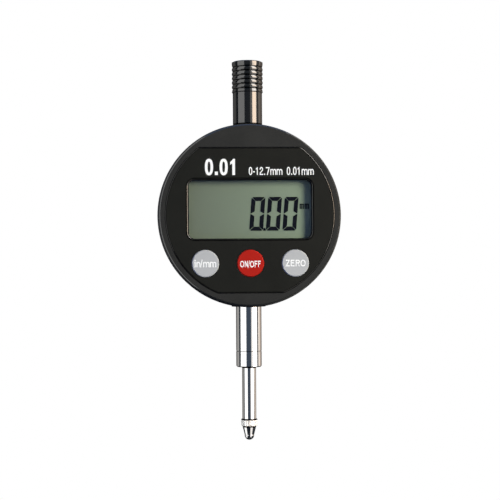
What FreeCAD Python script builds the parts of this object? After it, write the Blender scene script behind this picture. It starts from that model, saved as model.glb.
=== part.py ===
import FreeCAD
import Part
import math
import os

# Digital plunger indicator: 12.7 mm range, 8 mm clamping stem, lug back.
# Millimetres. +Z runs up the spindle axis, from the contact ball to the dust cap. The display faces -Y.
# The origin is on the spindle axis, in the middle of the stem's clamping length.

V = FreeCAD.Vector
X_AXIS = V(1, 0, 0)
Y_AXIS = V(0, 1, 0)
Z_AXIS = V(0, 0, 1)

# Clearances
SLIDE_GAP = 0.03          # radial, spindle in its bushes and guide rod in its shoe
LOOSE_GAP = 0.1           # around buttons, plates and glass in their recesses
THREAD_GAP = 0.05         # radial, between a plain-turned thread and its hole

# Case, round about an axis along Y
CASE_RADIUS = 28.1        # over the largest grip ring
FACE_STEP = 1.0           # flat front face inside the largest grip ring
FACE_TO_AXIS = 14.5       # spindle axis to the front face
BACK_TO_AXIS = 9.5        # spindle axis to the back cover's outer face
FRONT_WALL = 2.2
FRONT_COVER_DEPTH = 6.0
FRONT_SIDE_WALL = 1.55    # behind the grooves between the grip rings
EDGE_BEVEL = 0.25
GRIP_RINGS = 3
GRIP_RING_WIDTH = 0.55
GRIP_RING_PITCH = 1.15
GRIP_RING_HEIGHT = 0.45
GRIP_RING_DRAFT = 0.25    # each ring stands this much further out than the one before it
HOUSING_STEP = 0.5        # housing inside the largest grip ring
HOUSING_WALL = 2.4
HOUSING_TAIL = 2.0        # tapered length at the back
HOUSING_TAPER = 0.6
BACK_COVER_THICKNESS = 2.5
BACK_COVER_STEP = 0.4     # back cover inside the housing's tapered end
BACK_COVER_BEVEL = 0.6
GASKET_WIDTH = 0.8
GASKET_THICKNESS = 0.5

# Face plate: a disc cut by a chord at the top and one at the bottom
PLATE_RIM = 1.7           # flat face left round the plate
PLATE_TOP_CUT = 5.2       # height of the segment left off at the top
PLATE_BOTTOM_CUT = 2.0
PLATE_THICKNESS = 0.5
PLATE_SINK = 0.1          # below the rim of the front cover
PLATE_CORNER = 1.6
PLATE_BEVEL = 0.15
WINDOW_WIDTH = 38.2
WINDOW_HEIGHT = 18.5
WINDOW_CORNER = 2.4
WINDOW_RISE = 1.7         # window centre above the case centre
WINDOW_BEVEL = 0.2
WINDOW_LEDGE = 0.45       # front cover's ledge behind the lens, all round

# Window lens, display glass and its holder
LENS_THICKNESS = 1.0
LENS_LAP = 1.0            # lens beyond the window on each side
LENS_SINK = 0.05          # raised middle of the lens below the plate
LENS_BEVEL = 0.25
GLASS_MARGIN_X = 1.6      # display glass beyond the window at each end
GLASS_MARGIN_Z = 1.0      # display glass beyond the window above and below
GLASS_THICKNESS = 0.9
HOLDER_WALL = 0.6
HOLDER_LIP = 0.5
ZEBRA_THICKNESS = 0.9
ZEBRA_INSET = 1.5         # each end of the rubber strips inside the glass

# Buttons
BUTTON_RADIUS = 4.1
BUTTON_PITCH = 13.6
BUTTON_PROUD = 0.3        # above the plate
BUTTON_FLANGE = 0.5       # flange beyond the button's radius
BUTTON_FLANGE_THICKNESS = 0.8
BUTTON_POST_RADIUS = 1.8
BUTTON_EDGE = 0.25
WELL_GAP = 0.2
WELL_WALL = 0.5
KEYPAD_THICKNESS = 0.5
DOME_HEIGHT = 0.9
DOME_BASE_RADIUS = 3.4
DOME_TOP_RADIUS = 2.0
PILL_RADIUS = 1.2
PILL_THICKNESS = 0.4

# Circuit board
BOARD_DEPTH = 7.0         # front face of the case to the board's front
BOARD_THICKNESS = 1.6
BOARD_GAP = 0.3           # board's edge to the housing
BOARD_POST_RADIUS = 1.6
BOARD_POST_INSET = 2.05   # posts inside the housing's cavity
BOARD_POST_ANGLES = (51.0, -31.2)
BOARD_RELIEF = 0.5        # board and keypad round the case screws' bosses
BOARD_SCREW_RADIUS = 0.8
SENSOR_WIDTH = 13.0
SENSOR_THICKNESS = 0.8
SENSOR_LENGTH = 32.0
SENSOR_GAP = 0.3          # air between the sensor and the moving scale
CHIP_SIZE = 7.0
CHIP_THICKNESS = 1.2

# Case screws
CASE_SCREW_INSET = 2.2    # screws inside the housing's cavity
FRONT_SCREW_ANGLE = 70.0
BACK_SCREW_ANGLE = 45.0
CASE_SCREW_RADIUS = 1.0
CASE_SCREW_HEAD_RADIUS = 1.9
CASE_SCREW_HEAD_HEIGHT = 1.3
SCREW_BOSS_RADIUS = 2.6
SCREW_LUG_THICKNESS = 3.0
SCREW_BITE = 3.0          # length of thread in the front cover's bosses
BACK_BOSS_LENGTH = 7.0
CROSS_WIDTH = 0.5
CROSS_DEPTH = 0.6

# Stem, nose and lower guide
STEM_RADIUS = 4.0
STEM_CLAMP_LENGTH = 13.8
STEM_ROOT_RADIUS = 3.7    # part of the stem inside the housing
STEM_PAD_RADIUS = 5.3     # flat pad on the housing, against the stem's shoulder
STEM_BORE_RADIUS = 3.05
NOSE_LENGTH = 5.0
NOSE_SPIGOT = 3.0
NOSE_BEVEL = 0.3
JOINT_GAP = 0.15          # fine groove between stem and nose
JOINT_DEPTH = 0.25
LOWER_BUSH_LENGTH = 12.0
WIPER_THICKNESS = 1.2
WIPER_RADIUS = 3.3
WIPER_FROM_END = 0.9
BOSS_RADIUS = 5.5         # housing bosses round the stem and round the cap nipple
BOSS_LIP = 1.0

# Spindle and contact point
SPINDLE_RADIUS = 2.2
SPINDLE_SHOWN = 16.3      # nose to the contact point's collar, at rest
MEASURING_RANGE = 12.7
OVERTRAVEL = 0.3
TAP_RADIUS = 1.1
TAP_DEPTH = 6.0
COLLAR_RADIUS = 2.55
COLLAR_HEIGHT = 2.1
KNURL_COUNT = 28
KNURL_DEPTH = 0.14
CONE_TOP_RADIUS = 2.2
CONE_END_RADIUS = 1.32
CONE_LENGTH = 3.45
BALL_RADIUS = 1.5
BALL_SHOWN = 1.0          # ball below the end of the cone

# Dust cap, its nipple and the upper guide
CAP_SEAT_HEIGHT = 0.2     # cap's seat above the case's largest radius
CAP_HEIGHT = 20.2
CAP_RADIUS = 4.6
CAP_GRIP_RADIUS = 4.85
CAP_GRIP_HEIGHT = 9.85
CAP_GROOVES = 6
CAP_GROOVE_PITCH = 1.37
CAP_GROOVE_DEPTH = 0.4
CAP_GROOVE_WIDTH = 0.36
CAP_RIB_CROWN = 0.13      # ribs stand this much higher at mid-width than at the grooves
CAP_TOP_LAND = 1.8        # top of the cap to the first groove's middle
CAP_TOP_BEVEL = 0.5
CAP_CEILING = 1.2
CAP_BORE_RADIUS = 2.8
NIPPLE_RADIUS = 3.25      # threaded part, over the thread
NIPPLE_HEIGHT = 5.0
NIPPLE_ROOT_RADIUS = 4.0
CAP_SEAL_SECTION = 0.8
CAP_COLLAR_RADIUS = 5.3
UPPER_BUSH_RADIUS = 2.72
UPPER_BUSH_LENGTH = 10.0
SPINDLE_TOP_DROP = 0.2    # spindle's upper end below the nipple's, at rest

# Carrier, scale, stops, spring and guide rod
BOSS_REACH = 9.6          # lower boss top above the case's lowest point
UPPER_BOSS_REACH = 9.3
STOP_THICKNESS = 1.2
STOP_RADIUS = 5.0
STOP_BORE_RADIUS = 2.6
CARRIER_WIDTH = 10.0
CARRIER_HEIGHT = 12.0
CARRIER_BACK = 3.6
SCALE_BACKING = 0.8
SCALE_THICKNESS = 0.8
SCALE_MARGIN = 0.5
ARM_HEIGHT = 6.0
ARM_RISE = 3.0            # carrier's lower end to the arm
ARM_THICKNESS = 3.6
GUIDE_RADIUS = 1.0
GUIDE_X = 10.0
GUIDE_BOSS_RADIUS = 2.2
GUIDE_BOSS_REACH = 3.0
GUIDE_BITE = 1.2
SHOE_RADIUS = 1.9
SHOE_WALL = 1.0
CARRIER_SCREW_RADIUS = 1.0
SPRING_RADIUS = 2.76      # middle of the wire
SPRING_WIRE = 0.4
SPRING_TURNS = 10

# Battery, its compartment, contacts and screw cap
BATTERY_X = -14.5
BATTERY_RADIUS = 5.8
BATTERY_HEIGHT = 5.4
POCKET_GAP = 0.15
POCKET_WALL = 1.0
POCKET_FLOOR = 0.8
BATTERY_SPRING_HEIGHT = 1.8
BATTERY_CAP_GAP = 0.2     # battery to the inside of its cap
BATTERY_CAP_RADIUS = 8.0
BATTERY_CAP_HEAD = 1.2
BATTERY_CAP_PROUD = 0.4
BATTERY_CAP_THREAD_RADIUS = 7.0
BATTERY_SEAL_SECTION = 0.7
COIN_SLOT_WIDTH = 1.6
COIN_SLOT_DEPTH = 0.9
CONTACT_THICKNESS = 0.3
CONTACT_PIN_RADIUS = 0.4

# Lug
LUG_THICKNESS = 5.0
LUG_HOLE_RADIUS = 3.25
LUG_REACH = 8.0           # back cover's face to the hole
LUG_END_RADIUS = 6.5
LUG_ROOT_HALF_HEIGHT = 9.0

# Places that follow from the sizes above
stem_seat_z = STEM_CLAMP_LENGTH / 2
case_z = stem_seat_z + CASE_RADIUS
face_radius = CASE_RADIUS - FACE_STEP
groove_radius = CASE_RADIUS - GRIP_RING_DRAFT * (GRIP_RINGS - 1) - GRIP_RING_HEIGHT
front_cavity_radius = groove_radius - FRONT_SIDE_WALL
housing_radius = CASE_RADIUS - HOUSING_STEP
cavity_radius = housing_radius - HOUSING_WALL
housing_tail_radius = housing_radius - HOUSING_TAPER
back_cover_radius = housing_tail_radius - BACK_COVER_STEP
plate_radius = face_radius - PLATE_RIM
plate_top_z = case_z + plate_radius - PLATE_TOP_CUT
plate_bottom_z = case_z - plate_radius + PLATE_BOTTOM_CUT
board_radius = cavity_radius - BOARD_GAP
case_screw_circle = cavity_radius - CASE_SCREW_INSET
board_post_circle = cavity_radius - BOARD_POST_INSET
glass_width = WINDOW_WIDTH + 2 * GLASS_MARGIN_X
glass_height = WINDOW_HEIGHT + 2 * GLASS_MARGIN_Z
zebra_outer = glass_height / 2 - LOOSE_GAP
rear_glass_height = 2 * (zebra_outer - ZEBRA_THICKNESS - LOOSE_GAP)
front_y = -FACE_TO_AXIS
back_y = BACK_TO_AXIS
wall_back_y = front_y + FRONT_WALL
split_y = front_y + FRONT_COVER_DEPTH
housing_back_y = back_y - BACK_COVER_THICKNESS
plate_front_y = front_y + PLATE_SINK
plate_back_y = plate_front_y + PLATE_THICKNESS
lens_back_y = plate_back_y + LENS_THICKNESS
window_z = case_z + WINDOW_RISE
holder_bottom_z = window_z - glass_height / 2 - LOOSE_GAP - HOLDER_WALL
button_hole_radius = BUTTON_RADIUS + LOOSE_GAP
well_radius = BUTTON_RADIUS + BUTTON_FLANGE + WELL_GAP
button_z = holder_bottom_z - LOOSE_GAP - well_radius - WELL_WALL
board_front_y = front_y + BOARD_DEPTH
board_back_y = board_front_y + BOARD_THICKNESS
holder_front_y = wall_back_y + LOOSE_GAP
glass_front_y = holder_front_y + HOLDER_LIP
glass_middle_y = glass_front_y + GLASS_THICKNESS
keypad_front_y = board_front_y - KEYPAD_THICKNESS
dome_top_y = keypad_front_y - DOME_HEIGHT
sensor_back_y = board_back_y + SENSOR_THICKNESS
scale_front_y = sensor_back_y + SENSOR_GAP
backing_front_y = scale_front_y + SCALE_THICKNESS
backing_back_y = backing_front_y + SCALE_BACKING
stem_end_z = stem_seat_z - STEM_CLAMP_LENGTH
nose_end_z = stem_end_z - NOSE_LENGTH
collar_top_z = nose_end_z - SPINDLE_SHOWN
travel = MEASURING_RANGE + OVERTRAVEL
lower_boss_z = case_z - CASE_RADIUS + BOSS_REACH
upper_boss_z = case_z + CASE_RADIUS - UPPER_BOSS_REACH
carrier_z = lower_boss_z + STOP_THICKNESS
carrier_top_z = carrier_z + CARRIER_HEIGHT
upper_stop_z = upper_boss_z - STOP_THICKNESS
backing_top_z = upper_stop_z - travel - 2 * LOOSE_GAP
cap_seat_z = case_z + CASE_RADIUS + CAP_SEAT_HEIGHT
cap_top_z = cap_seat_z + CAP_HEIGHT
nipple_top_z = cap_seat_z + NIPPLE_HEIGHT
spindle_top_z = nipple_top_z - SPINDLE_TOP_DROP
running_radius = SPINDLE_RADIUS + SLIDE_GAP
battery_cap_seat_y = back_y + BATTERY_CAP_PROUD - BATTERY_CAP_HEAD
pocket_radius = BATTERY_RADIUS + POCKET_GAP
battery_back_y = housing_back_y - BATTERY_CAP_GAP
battery_front_y = battery_back_y - BATTERY_HEIGHT
pocket_floor_y = battery_front_y - BATTERY_SPRING_HEIGHT


def along_y(radius, y0, y1, x=0.0, z=case_z):
    """A round bar along Y."""
    return Part.makeCylinder(radius, y1 - y0, V(x, y0, z), Y_AXIS)


def along_z(radius, z0, z1, x=0.0, y=0.0):
    """A round bar along Z."""
    return Part.makeCylinder(radius, z1 - z0, V(x, y, z0), Z_AXIS)


def tube_y(outer, inner, y0, y1, x=0.0, z=case_z):
    return along_y(outer, y0, y1, x, z).cut(along_y(inner, y0, y1, x, z))


def tube_z(outer, inner, z0, z1, x=0.0, y=0.0):
    return along_z(outer, z0, z1, x, y).cut(along_z(inner, z0, z1, x, y))


def block(x0, x1, y0, y1, z0, z1):
    return Part.makeBox(x1 - x0, y1 - y0, z1 - z0, V(x0, y0, z0))


def turned_z(profile):
    """A solid of revolution about the spindle axis, from (radius, z) points."""
    points = [V(r, 0, z) for r, z in profile]
    return Part.Face(Part.makePolygon(points + points[:1])).revolve(V(0, 0, 0), Z_AXIS, 360)


def turned_y(profile, x=0.0, z=case_z):
    """A solid of revolution about a line along Y, from (radius, y) points."""
    points = [V(x + r, y, z) for r, y in profile]
    return Part.Face(Part.makePolygon(points + points[:1])).revolve(V(x, 0, z), Y_AXIS, 360)


def extruded_y(wire, y0, y1):
    """A flat outline, drawn in the plane Y = 0, made solid from y0 to y1."""
    face = Part.Face(wire)
    face.translate(V(0, y0, 0))
    return face.extrude(V(0, y1 - y0, 0))


def rounded_rectangle(width, height, corner, z):
    """Outline in the XZ plane, about x = 0 and the given z."""
    straight_x = width / 2 - corner
    straight_z = height / 2 - corner
    edges = []
    for quarter in range(4):
        start = quarter * math.pi / 2
        cx = straight_x if quarter in (0, 3) else -straight_x
        cz = straight_z if quarter in (0, 1) else -straight_z
        at = [V(cx + corner * math.cos(start + a), 0, z + cz + corner * math.sin(start + a))
              for a in (0, math.pi / 4, math.pi / 2)]
        if edges:
            edges.append(Part.makeLine(edges[-1].Vertexes[-1].Point, at[0]))
        edges.append(Part.Arc(*at).toShape())
    edges.append(Part.makeLine(edges[-1].Vertexes[-1].Point, edges[0].Vertexes[0].Point))
    return Part.Wire(edges)


def fused(shapes):
    whole = shapes[0]
    for shape in shapes[1:]:
        whole = whole.fuse(shape)
    return whole.removeSplitter()


def cut_all(shape, tools):
    for tool in tools:
        shape = shape.cut(tool)
    return shape


def four_corners(circle, degrees):
    """Four (x, z) offsets on a circle, one in each quarter."""
    x = circle * math.cos(math.radians(degrees))
    z = circle * math.sin(math.radians(degrees))
    return [(sx * x, sz * z) for sx in (-1, 1) for sz in (-1, 1)]


def button_xs():
    return [-BUTTON_PITCH, 0.0, BUTTON_PITCH]


def front_screw_places():
    return four_corners(case_screw_circle, FRONT_SCREW_ANGLE)


def back_screw_places():
    return four_corners(case_screw_circle, BACK_SCREW_ANGLE)


def board_post_places():
    points = []
    for degrees in BOARD_POST_ANGLES:
        x = board_post_circle * math.cos(math.radians(degrees))
        z = board_post_circle * math.sin(math.radians(degrees))
        points += [(-x, z), (x, z)]
    return points


def plate_shape(y0, y1, grow=0.0):
    """The face plate's outline, larger by grow all round, from y0 to y1."""
    radius = plate_radius + grow
    disc = along_y(radius, y0, y1)
    band = block(-radius, radius, y0, y1, plate_bottom_z - grow, plate_top_z + grow)
    shape = disc.common(band)
    corners = [e for e in shape.Edges
               if abs(e.Vertexes[0].Y - e.Vertexes[-1].Y) > (y1 - y0) / 2
               and abs(e.Vertexes[0].X) > LOOSE_GAP]
    return shape.makeFillet(PLATE_CORNER + grow, corners)


def window_shape(y0, y1, grow=0.0):
    """The window's outline, larger by grow on each side, from y0 to y1."""
    wire = rounded_rectangle(WINDOW_WIDTH + 2 * grow, WINDOW_HEIGHT + 2 * grow,
                             WINDOW_CORNER + grow, window_z)
    return extruded_y(wire, y0, y1)


# Case

def make_front_cover():
    """Dished front: plate recess, lens seat, button wells, board posts and screw bosses."""
    profile = [(0, front_y), (face_radius, front_y),
               (face_radius + EDGE_BEVEL, front_y + EDGE_BEVEL)]
    slope = (GRIP_RING_PITCH - GRIP_RING_WIDTH) / 3
    first_ring_y = split_y - GRIP_RINGS * GRIP_RING_PITCH
    for ring in range(GRIP_RINGS):
        y = first_ring_y + ring * GRIP_RING_PITCH
        crest = CASE_RADIUS - GRIP_RING_DRAFT * (GRIP_RINGS - 1 - ring)
        profile += [(groove_radius, y), (crest, y + slope),
                    (crest, y + slope + GRIP_RING_WIDTH),
                    (groove_radius, y + 2 * slope + GRIP_RING_WIDTH)]
    profile += [(groove_radius, split_y), (front_cavity_radius, split_y),
                (front_cavity_radius, wall_back_y), (0, wall_back_y)]
    cover = turned_y(profile)

    inside = along_y(cavity_radius - LOOSE_GAP, wall_back_y, board_front_y)
    inner = [along_y(well_radius + WELL_WALL, wall_back_y, keypad_front_y, x, button_z).common(inside)
             for x in button_xs()]
    inner += [along_y(BOARD_POST_RADIUS, wall_back_y, board_front_y, x, case_z + z)
              for x, z in board_post_places()]
    inner += [along_y(SCREW_BOSS_RADIUS - LOOSE_GAP, wall_back_y, split_y, x, case_z + z)
              for x, z in front_screw_places()]
    cover = fused([cover] + inner)

    recess = plate_shape(front_y - 1, plate_back_y, LOOSE_GAP)
    lens_seat = window_shape(plate_back_y - 1, lens_back_y, LENS_LAP + LOOSE_GAP)
    opening = window_shape(lens_back_y - 1, wall_back_y + 1, -WINDOW_LEDGE)
    holes = [along_y(button_hole_radius, front_y - 1, wall_back_y + 1, x, button_z)
             for x in button_xs()]
    wells = [along_y(well_radius, wall_back_y, keypad_front_y + 1, x, button_z) for x in button_xs()]
    taps = [along_y(BOARD_SCREW_RADIUS, board_front_y - SCREW_BITE, board_front_y + 1, x, case_z + z)
            for x, z in board_post_places()]
    taps += [along_y(CASE_SCREW_RADIUS, split_y - SCREW_BITE, split_y + 1, x, case_z + z)
             for x, z in front_screw_places()]
    return cut_all(cover, [recess, lens_seat, opening] + holes + wells + taps)


def make_housing():
    """Middle of the case: the ring that carries the stem, the cap nipple and the guide rod."""
    profile = [(cavity_radius, split_y), (housing_radius, split_y),
               (housing_radius, housing_back_y - HOUSING_TAIL),
               (housing_tail_radius, housing_back_y), (cavity_radius, housing_back_y)]
    ring = turned_y(profile)
    within = along_y(housing_radius - GASKET_WIDTH, split_y, housing_back_y)
    inner = [along_z(BOSS_RADIUS, case_z - housing_radius, lower_boss_z),
             along_z(BOSS_RADIUS, upper_boss_z, case_z + housing_radius)]
    for z0, z1 in ((case_z - housing_radius, guide_ends()[0] + GUIDE_BITE),
                   (guide_ends()[1] - GUIDE_BITE, case_z + housing_radius)):
        inner.append(along_z(GUIDE_BOSS_RADIUS, z0, z1, GUIDE_X))
    inner += [along_y(SCREW_BOSS_RADIUS, split_y, split_y + SCREW_LUG_THICKNESS, x, case_z + z)
              for x, z in front_screw_places()]
    inner += [along_y(SCREW_BOSS_RADIUS, housing_back_y - BACK_BOSS_LENGTH, housing_back_y,
                      x, case_z + z) for x, z in back_screw_places()]
    inner = [shape.common(within) for shape in inner]
    collar = along_z(CAP_COLLAR_RADIUS, case_z + cavity_radius, cap_seat_z)
    pad = along_z(STEM_PAD_RADIUS, stem_seat_z, case_z - cavity_radius)
    housing = fused([ring, collar, pad] + inner)

    tools = [along_z(STEM_ROOT_RADIUS, stem_seat_z - 1, stem_top()),
             along_z(STOP_BORE_RADIUS, 0, lower_boss_z + 1),
             along_z(NIPPLE_ROOT_RADIUS, nipple_root(), cap_top_z),
             along_z(STOP_BORE_RADIUS, upper_boss_z - 1, cap_top_z),
             along_z(GUIDE_RADIUS, guide_ends()[0], guide_ends()[1], GUIDE_X)]
    tools += [along_y(CASE_SCREW_RADIUS, split_y - 1, housing_back_y, x, case_z + z)
              for x, z in front_screw_places()]
    tools += [along_y(CASE_SCREW_RADIUS, back_screw_end(), housing_back_y + 1, x, case_z + z)
              for x, z in back_screw_places()]
    for name in ("front", "back"):
        tools.append(gasket(name))
    return cut_all(housing, tools)


def gasket(side):
    """Flat ring sunk in the housing's front or back edge."""
    if side == "front":
        y0 = split_y
        middle = (housing_radius + cavity_radius) / 2
    else:
        y0 = housing_back_y - GASKET_THICKNESS
        middle = (back_cover_radius + cavity_radius) / 2
    return tube_y(middle + GASKET_WIDTH / 2, middle - GASKET_WIDTH / 2, y0, y0 + GASKET_THICKNESS)


def lug():
    """Upright tab with a rounded end and a cross hole, in the plane of the spindle."""
    root_y = back_y - BACK_COVER_THICKNESS / 2
    hole_y = back_y + LUG_REACH
    lean = math.asin((LUG_ROOT_HALF_HEIGHT - LUG_END_RADIUS) / LUG_REACH)
    touch_y = hole_y + LUG_END_RADIUS * math.sin(lean)
    touch_z = LUG_END_RADIUS * math.cos(lean)
    corners = [V(0, root_y, case_z - LUG_ROOT_HALF_HEIGHT), V(0, back_y, case_z - LUG_ROOT_HALF_HEIGHT),
               V(0, touch_y, case_z - touch_z)]
    edges = [Part.makeLine(corners[0], corners[1]), Part.makeLine(corners[1], corners[2])]
    edges.append(Part.Arc(corners[2], V(0, hole_y + LUG_END_RADIUS, case_z),
                          V(0, touch_y, case_z + touch_z)).toShape())
    upper = [V(0, touch_y, case_z + touch_z), V(0, back_y, case_z + LUG_ROOT_HALF_HEIGHT),
             V(0, root_y, case_z + LUG_ROOT_HALF_HEIGHT), corners[0]]
    edges += [Part.makeLine(a, b) for a, b in zip(upper, upper[1:])]
    face = Part.Face(Part.Wire(edges))
    face.translate(V(-LUG_THICKNESS / 2, 0, 0))
    return face.extrude(V(LUG_THICKNESS, 0, 0))


def make_back_cover():
    """Disc with the lug, the battery pocket and four sunk screw holes."""
    cover = turned_y([(0, housing_back_y), (back_cover_radius, housing_back_y),
                      (back_cover_radius, back_y - BACK_COVER_BEVEL),
                      (back_cover_radius - BACK_COVER_BEVEL, back_y), (0, back_y)])
    pocket = along_y(pocket_radius + POCKET_WALL, pocket_floor_y - POCKET_FLOOR,
                     housing_back_y, BATTERY_X)
    port_rim = along_y(BATTERY_CAP_THREAD_RADIUS + THREAD_GAP + POCKET_WALL,
                       battery_back_y - POCKET_WALL, housing_back_y, BATTERY_X)
    cover = fused([cover, pocket, port_rim, lug()])
    seal_outer = BATTERY_CAP_THREAD_RADIUS + THREAD_GAP + BATTERY_SEAL_SECTION
    tools = [along_y(pocket_radius, pocket_floor_y, housing_back_y, BATTERY_X),
             along_y(BATTERY_CAP_THREAD_RADIUS + THREAD_GAP, battery_back_y, back_y, BATTERY_X),
             along_y(seal_outer, battery_cap_seat_y - BATTERY_SEAL_SECTION, back_y, BATTERY_X),
             along_y(BATTERY_CAP_RADIUS + LOOSE_GAP, battery_cap_seat_y, back_y + 1, BATTERY_X),
             along_y(CONTACT_PIN_RADIUS, pocket_floor_y - POCKET_FLOOR, pocket_floor_y, BATTERY_X),
             positive_contact_slot(),
             Part.makeCylinder(LUG_HOLE_RADIUS, LUG_THICKNESS + 2,
                               V(-LUG_THICKNESS / 2 - 1, back_y + LUG_REACH, case_z), X_AXIS)]
    for x, z in back_screw_places():
        tools.append(along_y(CASE_SCREW_RADIUS + LOOSE_GAP, housing_back_y - 1, back_y, x, case_z + z))
        tools.append(along_y(CASE_SCREW_HEAD_RADIUS + LOOSE_GAP, back_y - CASE_SCREW_HEAD_HEIGHT,
                             back_y + 1, x, case_z + z))
    return cut_all(cover, tools)


def make_face_plate():
    """Thin plate with a bevelled window and three button holes."""
    plate = plate_shape(plate_front_y, plate_back_y)
    rim = [e for e in plate.Edges if e.BoundBox.YMax < (plate_front_y + plate_back_y) / 2]
    plate = plate.makeChamfer(PLATE_BEVEL, rim)
    bevel = Part.makeLoft(
        [window_wire_at(plate_front_y, WINDOW_BEVEL), window_wire_at(plate_front_y + WINDOW_BEVEL, 0)],
        True, True)
    holes = [along_y(button_hole_radius, plate_front_y - 1, plate_back_y + 1, x, button_z)
             for x in button_xs()]
    return cut_all(plate, [window_shape(plate_front_y - 1, plate_back_y + 1), bevel] + holes)


def window_wire_at(y, grow):
    wire = rounded_rectangle(WINDOW_WIDTH + 2 * grow, WINDOW_HEIGHT + 2 * grow,
                             WINDOW_CORNER + grow, window_z)
    wire.translate(V(0, y, 0))
    return wire


def cross_recess(x, y, z):
    """Two crossed slots in a screw head whose top is at y, facing +Y."""
    length = 1.3 * CASE_SCREW_HEAD_RADIUS
    slot_x = block(x - length / 2, x + length / 2, y - CROSS_DEPTH, y + 1,
                   z - CROSS_WIDTH / 2, z + CROSS_WIDTH / 2)
    slot_z = block(x - CROSS_WIDTH / 2, x + CROSS_WIDTH / 2, y - CROSS_DEPTH, y + 1,
                   z - length / 2, z + length / 2)
    return slot_x.fuse(slot_z)


def screws(places, head_y, tip_y, radius, head_radius, head_height):
    """Cross-recessed screws whose heads sit on head_y and point towards -Y."""
    made = []
    for x, z in places:
        screw = turned_y([(0, tip_y), (radius, tip_y), (radius, head_y), (head_radius, head_y),
                          (head_radius, head_y + head_height), (0, head_y + head_height)],
                         x, case_z + z)
        made.append(screw.cut(cross_recess(x, head_y + head_height, case_z + z)))
    return Part.makeCompound(made)


def back_screw_end():
    return housing_back_y - BACK_BOSS_LENGTH + 1


def make_back_screws():
    return screws(back_screw_places(), back_y - CASE_SCREW_HEAD_HEIGHT, back_screw_end(),
                  CASE_SCREW_RADIUS, CASE_SCREW_HEAD_RADIUS, CASE_SCREW_HEAD_HEIGHT)


def make_front_screws():
    return screws(front_screw_places(), split_y + SCREW_LUG_THICKNESS, split_y - SCREW_BITE,
                  CASE_SCREW_RADIUS, CASE_SCREW_HEAD_RADIUS, CASE_SCREW_HEAD_HEIGHT)


# Display

def make_window_lens():
    """Clear plate held behind the face plate, its bevelled middle raised into the window."""
    front = plate_front_y + LENS_SINK
    middle = window_shape(front, plate_back_y, -LOOSE_GAP)
    rim = [e for e in middle.Edges if e.BoundBox.YMax < (front + plate_back_y) / 2]
    middle = middle.makeChamfer(LENS_BEVEL, rim)
    return fused([window_shape(plate_back_y, lens_back_y, LENS_LAP), middle])


def make_glass(height, y0):
    return block(-glass_width / 2, glass_width / 2, y0, y0 + GLASS_THICKNESS,
                 window_z - height / 2, window_z + height / 2)


def make_zebra_strips():
    """The two rubber connectors between the front glass's ledges and the board."""
    half = glass_width / 2 - ZEBRA_INSET
    inner = zebra_outer - ZEBRA_THICKNESS
    spans = ((-zebra_outer, -inner), (inner, zebra_outer))
    return Part.makeCompound([block(-half, half, glass_middle_y, board_front_y,
                                    window_z + low, window_z + high) for low, high in spans])


def make_lcd_holder():
    """Frame round the display glass, with a lip in front of it."""
    half_w = glass_width / 2 + LOOSE_GAP
    half_h = glass_height / 2 + LOOSE_GAP
    outer = block(-half_w - HOLDER_WALL, half_w + HOLDER_WALL, holder_front_y, board_front_y,
                  window_z - half_h - HOLDER_WALL, window_z + half_h + HOLDER_WALL)
    outer = outer.common(along_y(cavity_radius - LOOSE_GAP, holder_front_y, board_front_y))
    inner = block(-half_w, half_w, glass_front_y, board_front_y, window_z - half_h, window_z + half_h)
    return cut_all(outer, [inner, window_shape(holder_front_y, glass_front_y, 2 * LOOSE_GAP)])


# Keys

def make_button(x):
    """Round cap with a retaining flange and a post that presses its dome."""
    top = plate_front_y - BUTTON_PROUD
    flange = wall_back_y + LOOSE_GAP
    post_end = dome_top_y - LOOSE_GAP
    return turned_y([(0, top), (BUTTON_RADIUS - BUTTON_EDGE, top), (BUTTON_RADIUS, top + BUTTON_EDGE),
                     (BUTTON_RADIUS, flange), (BUTTON_RADIUS + BUTTON_FLANGE, flange),
                     (BUTTON_RADIUS + BUTTON_FLANGE, flange + BUTTON_FLANGE_THICKNESS),
                     (BUTTON_POST_RADIUS, flange + BUTTON_FLANGE_THICKNESS),
                     (BUTTON_POST_RADIUS, post_end), (0, post_end)], x, button_z)


def make_keypad():
    """Silicone mat under the wells, with a hollow dome for each button."""
    half = well_radius + WELL_WALL
    mat = [along_y(half, keypad_front_y, board_front_y, x, button_z) for x in button_xs()]
    mat.append(block(-BUTTON_PITCH, BUTTON_PITCH, keypad_front_y, board_front_y,
                     button_z - half, button_z + half))
    domes = [turned_y([(0, dome_top_y), (DOME_TOP_RADIUS, dome_top_y),
                       (DOME_BASE_RADIUS, keypad_front_y), (0, keypad_front_y)], x, button_z)
             for x in button_xs()]
    keypad = fused(mat).common(along_y(board_radius - LOOSE_GAP, dome_top_y, board_front_y))
    keypad = fused([keypad] + domes)
    inside_y = dome_top_y + KEYPAD_THICKNESS
    tools = [turned_y([(0, inside_y), (DOME_TOP_RADIUS - KEYPAD_THICKNESS, inside_y),
                       (DOME_BASE_RADIUS - KEYPAD_THICKNESS, board_front_y + 1),
                       (0, board_front_y + 1)], x, button_z) for x in button_xs()]
    tools += [along_y(SCREW_BOSS_RADIUS + BOARD_RELIEF, dome_top_y, board_front_y, x, case_z + z)
              for x, z in front_screw_places()]
    tools += [along_y(BOARD_POST_RADIUS + LOOSE_GAP, dome_top_y, board_front_y, x, case_z + z)
              for x, z in board_post_places()]
    return cut_all(keypad, tools)


def make_pill(x):
    """Carbon contact inside a dome; it meets the board when the button is pressed."""
    y0 = dome_top_y + KEYPAD_THICKNESS
    return along_y(PILL_RADIUS, y0, y0 + PILL_THICKNESS, x, button_z)


# Board

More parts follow.
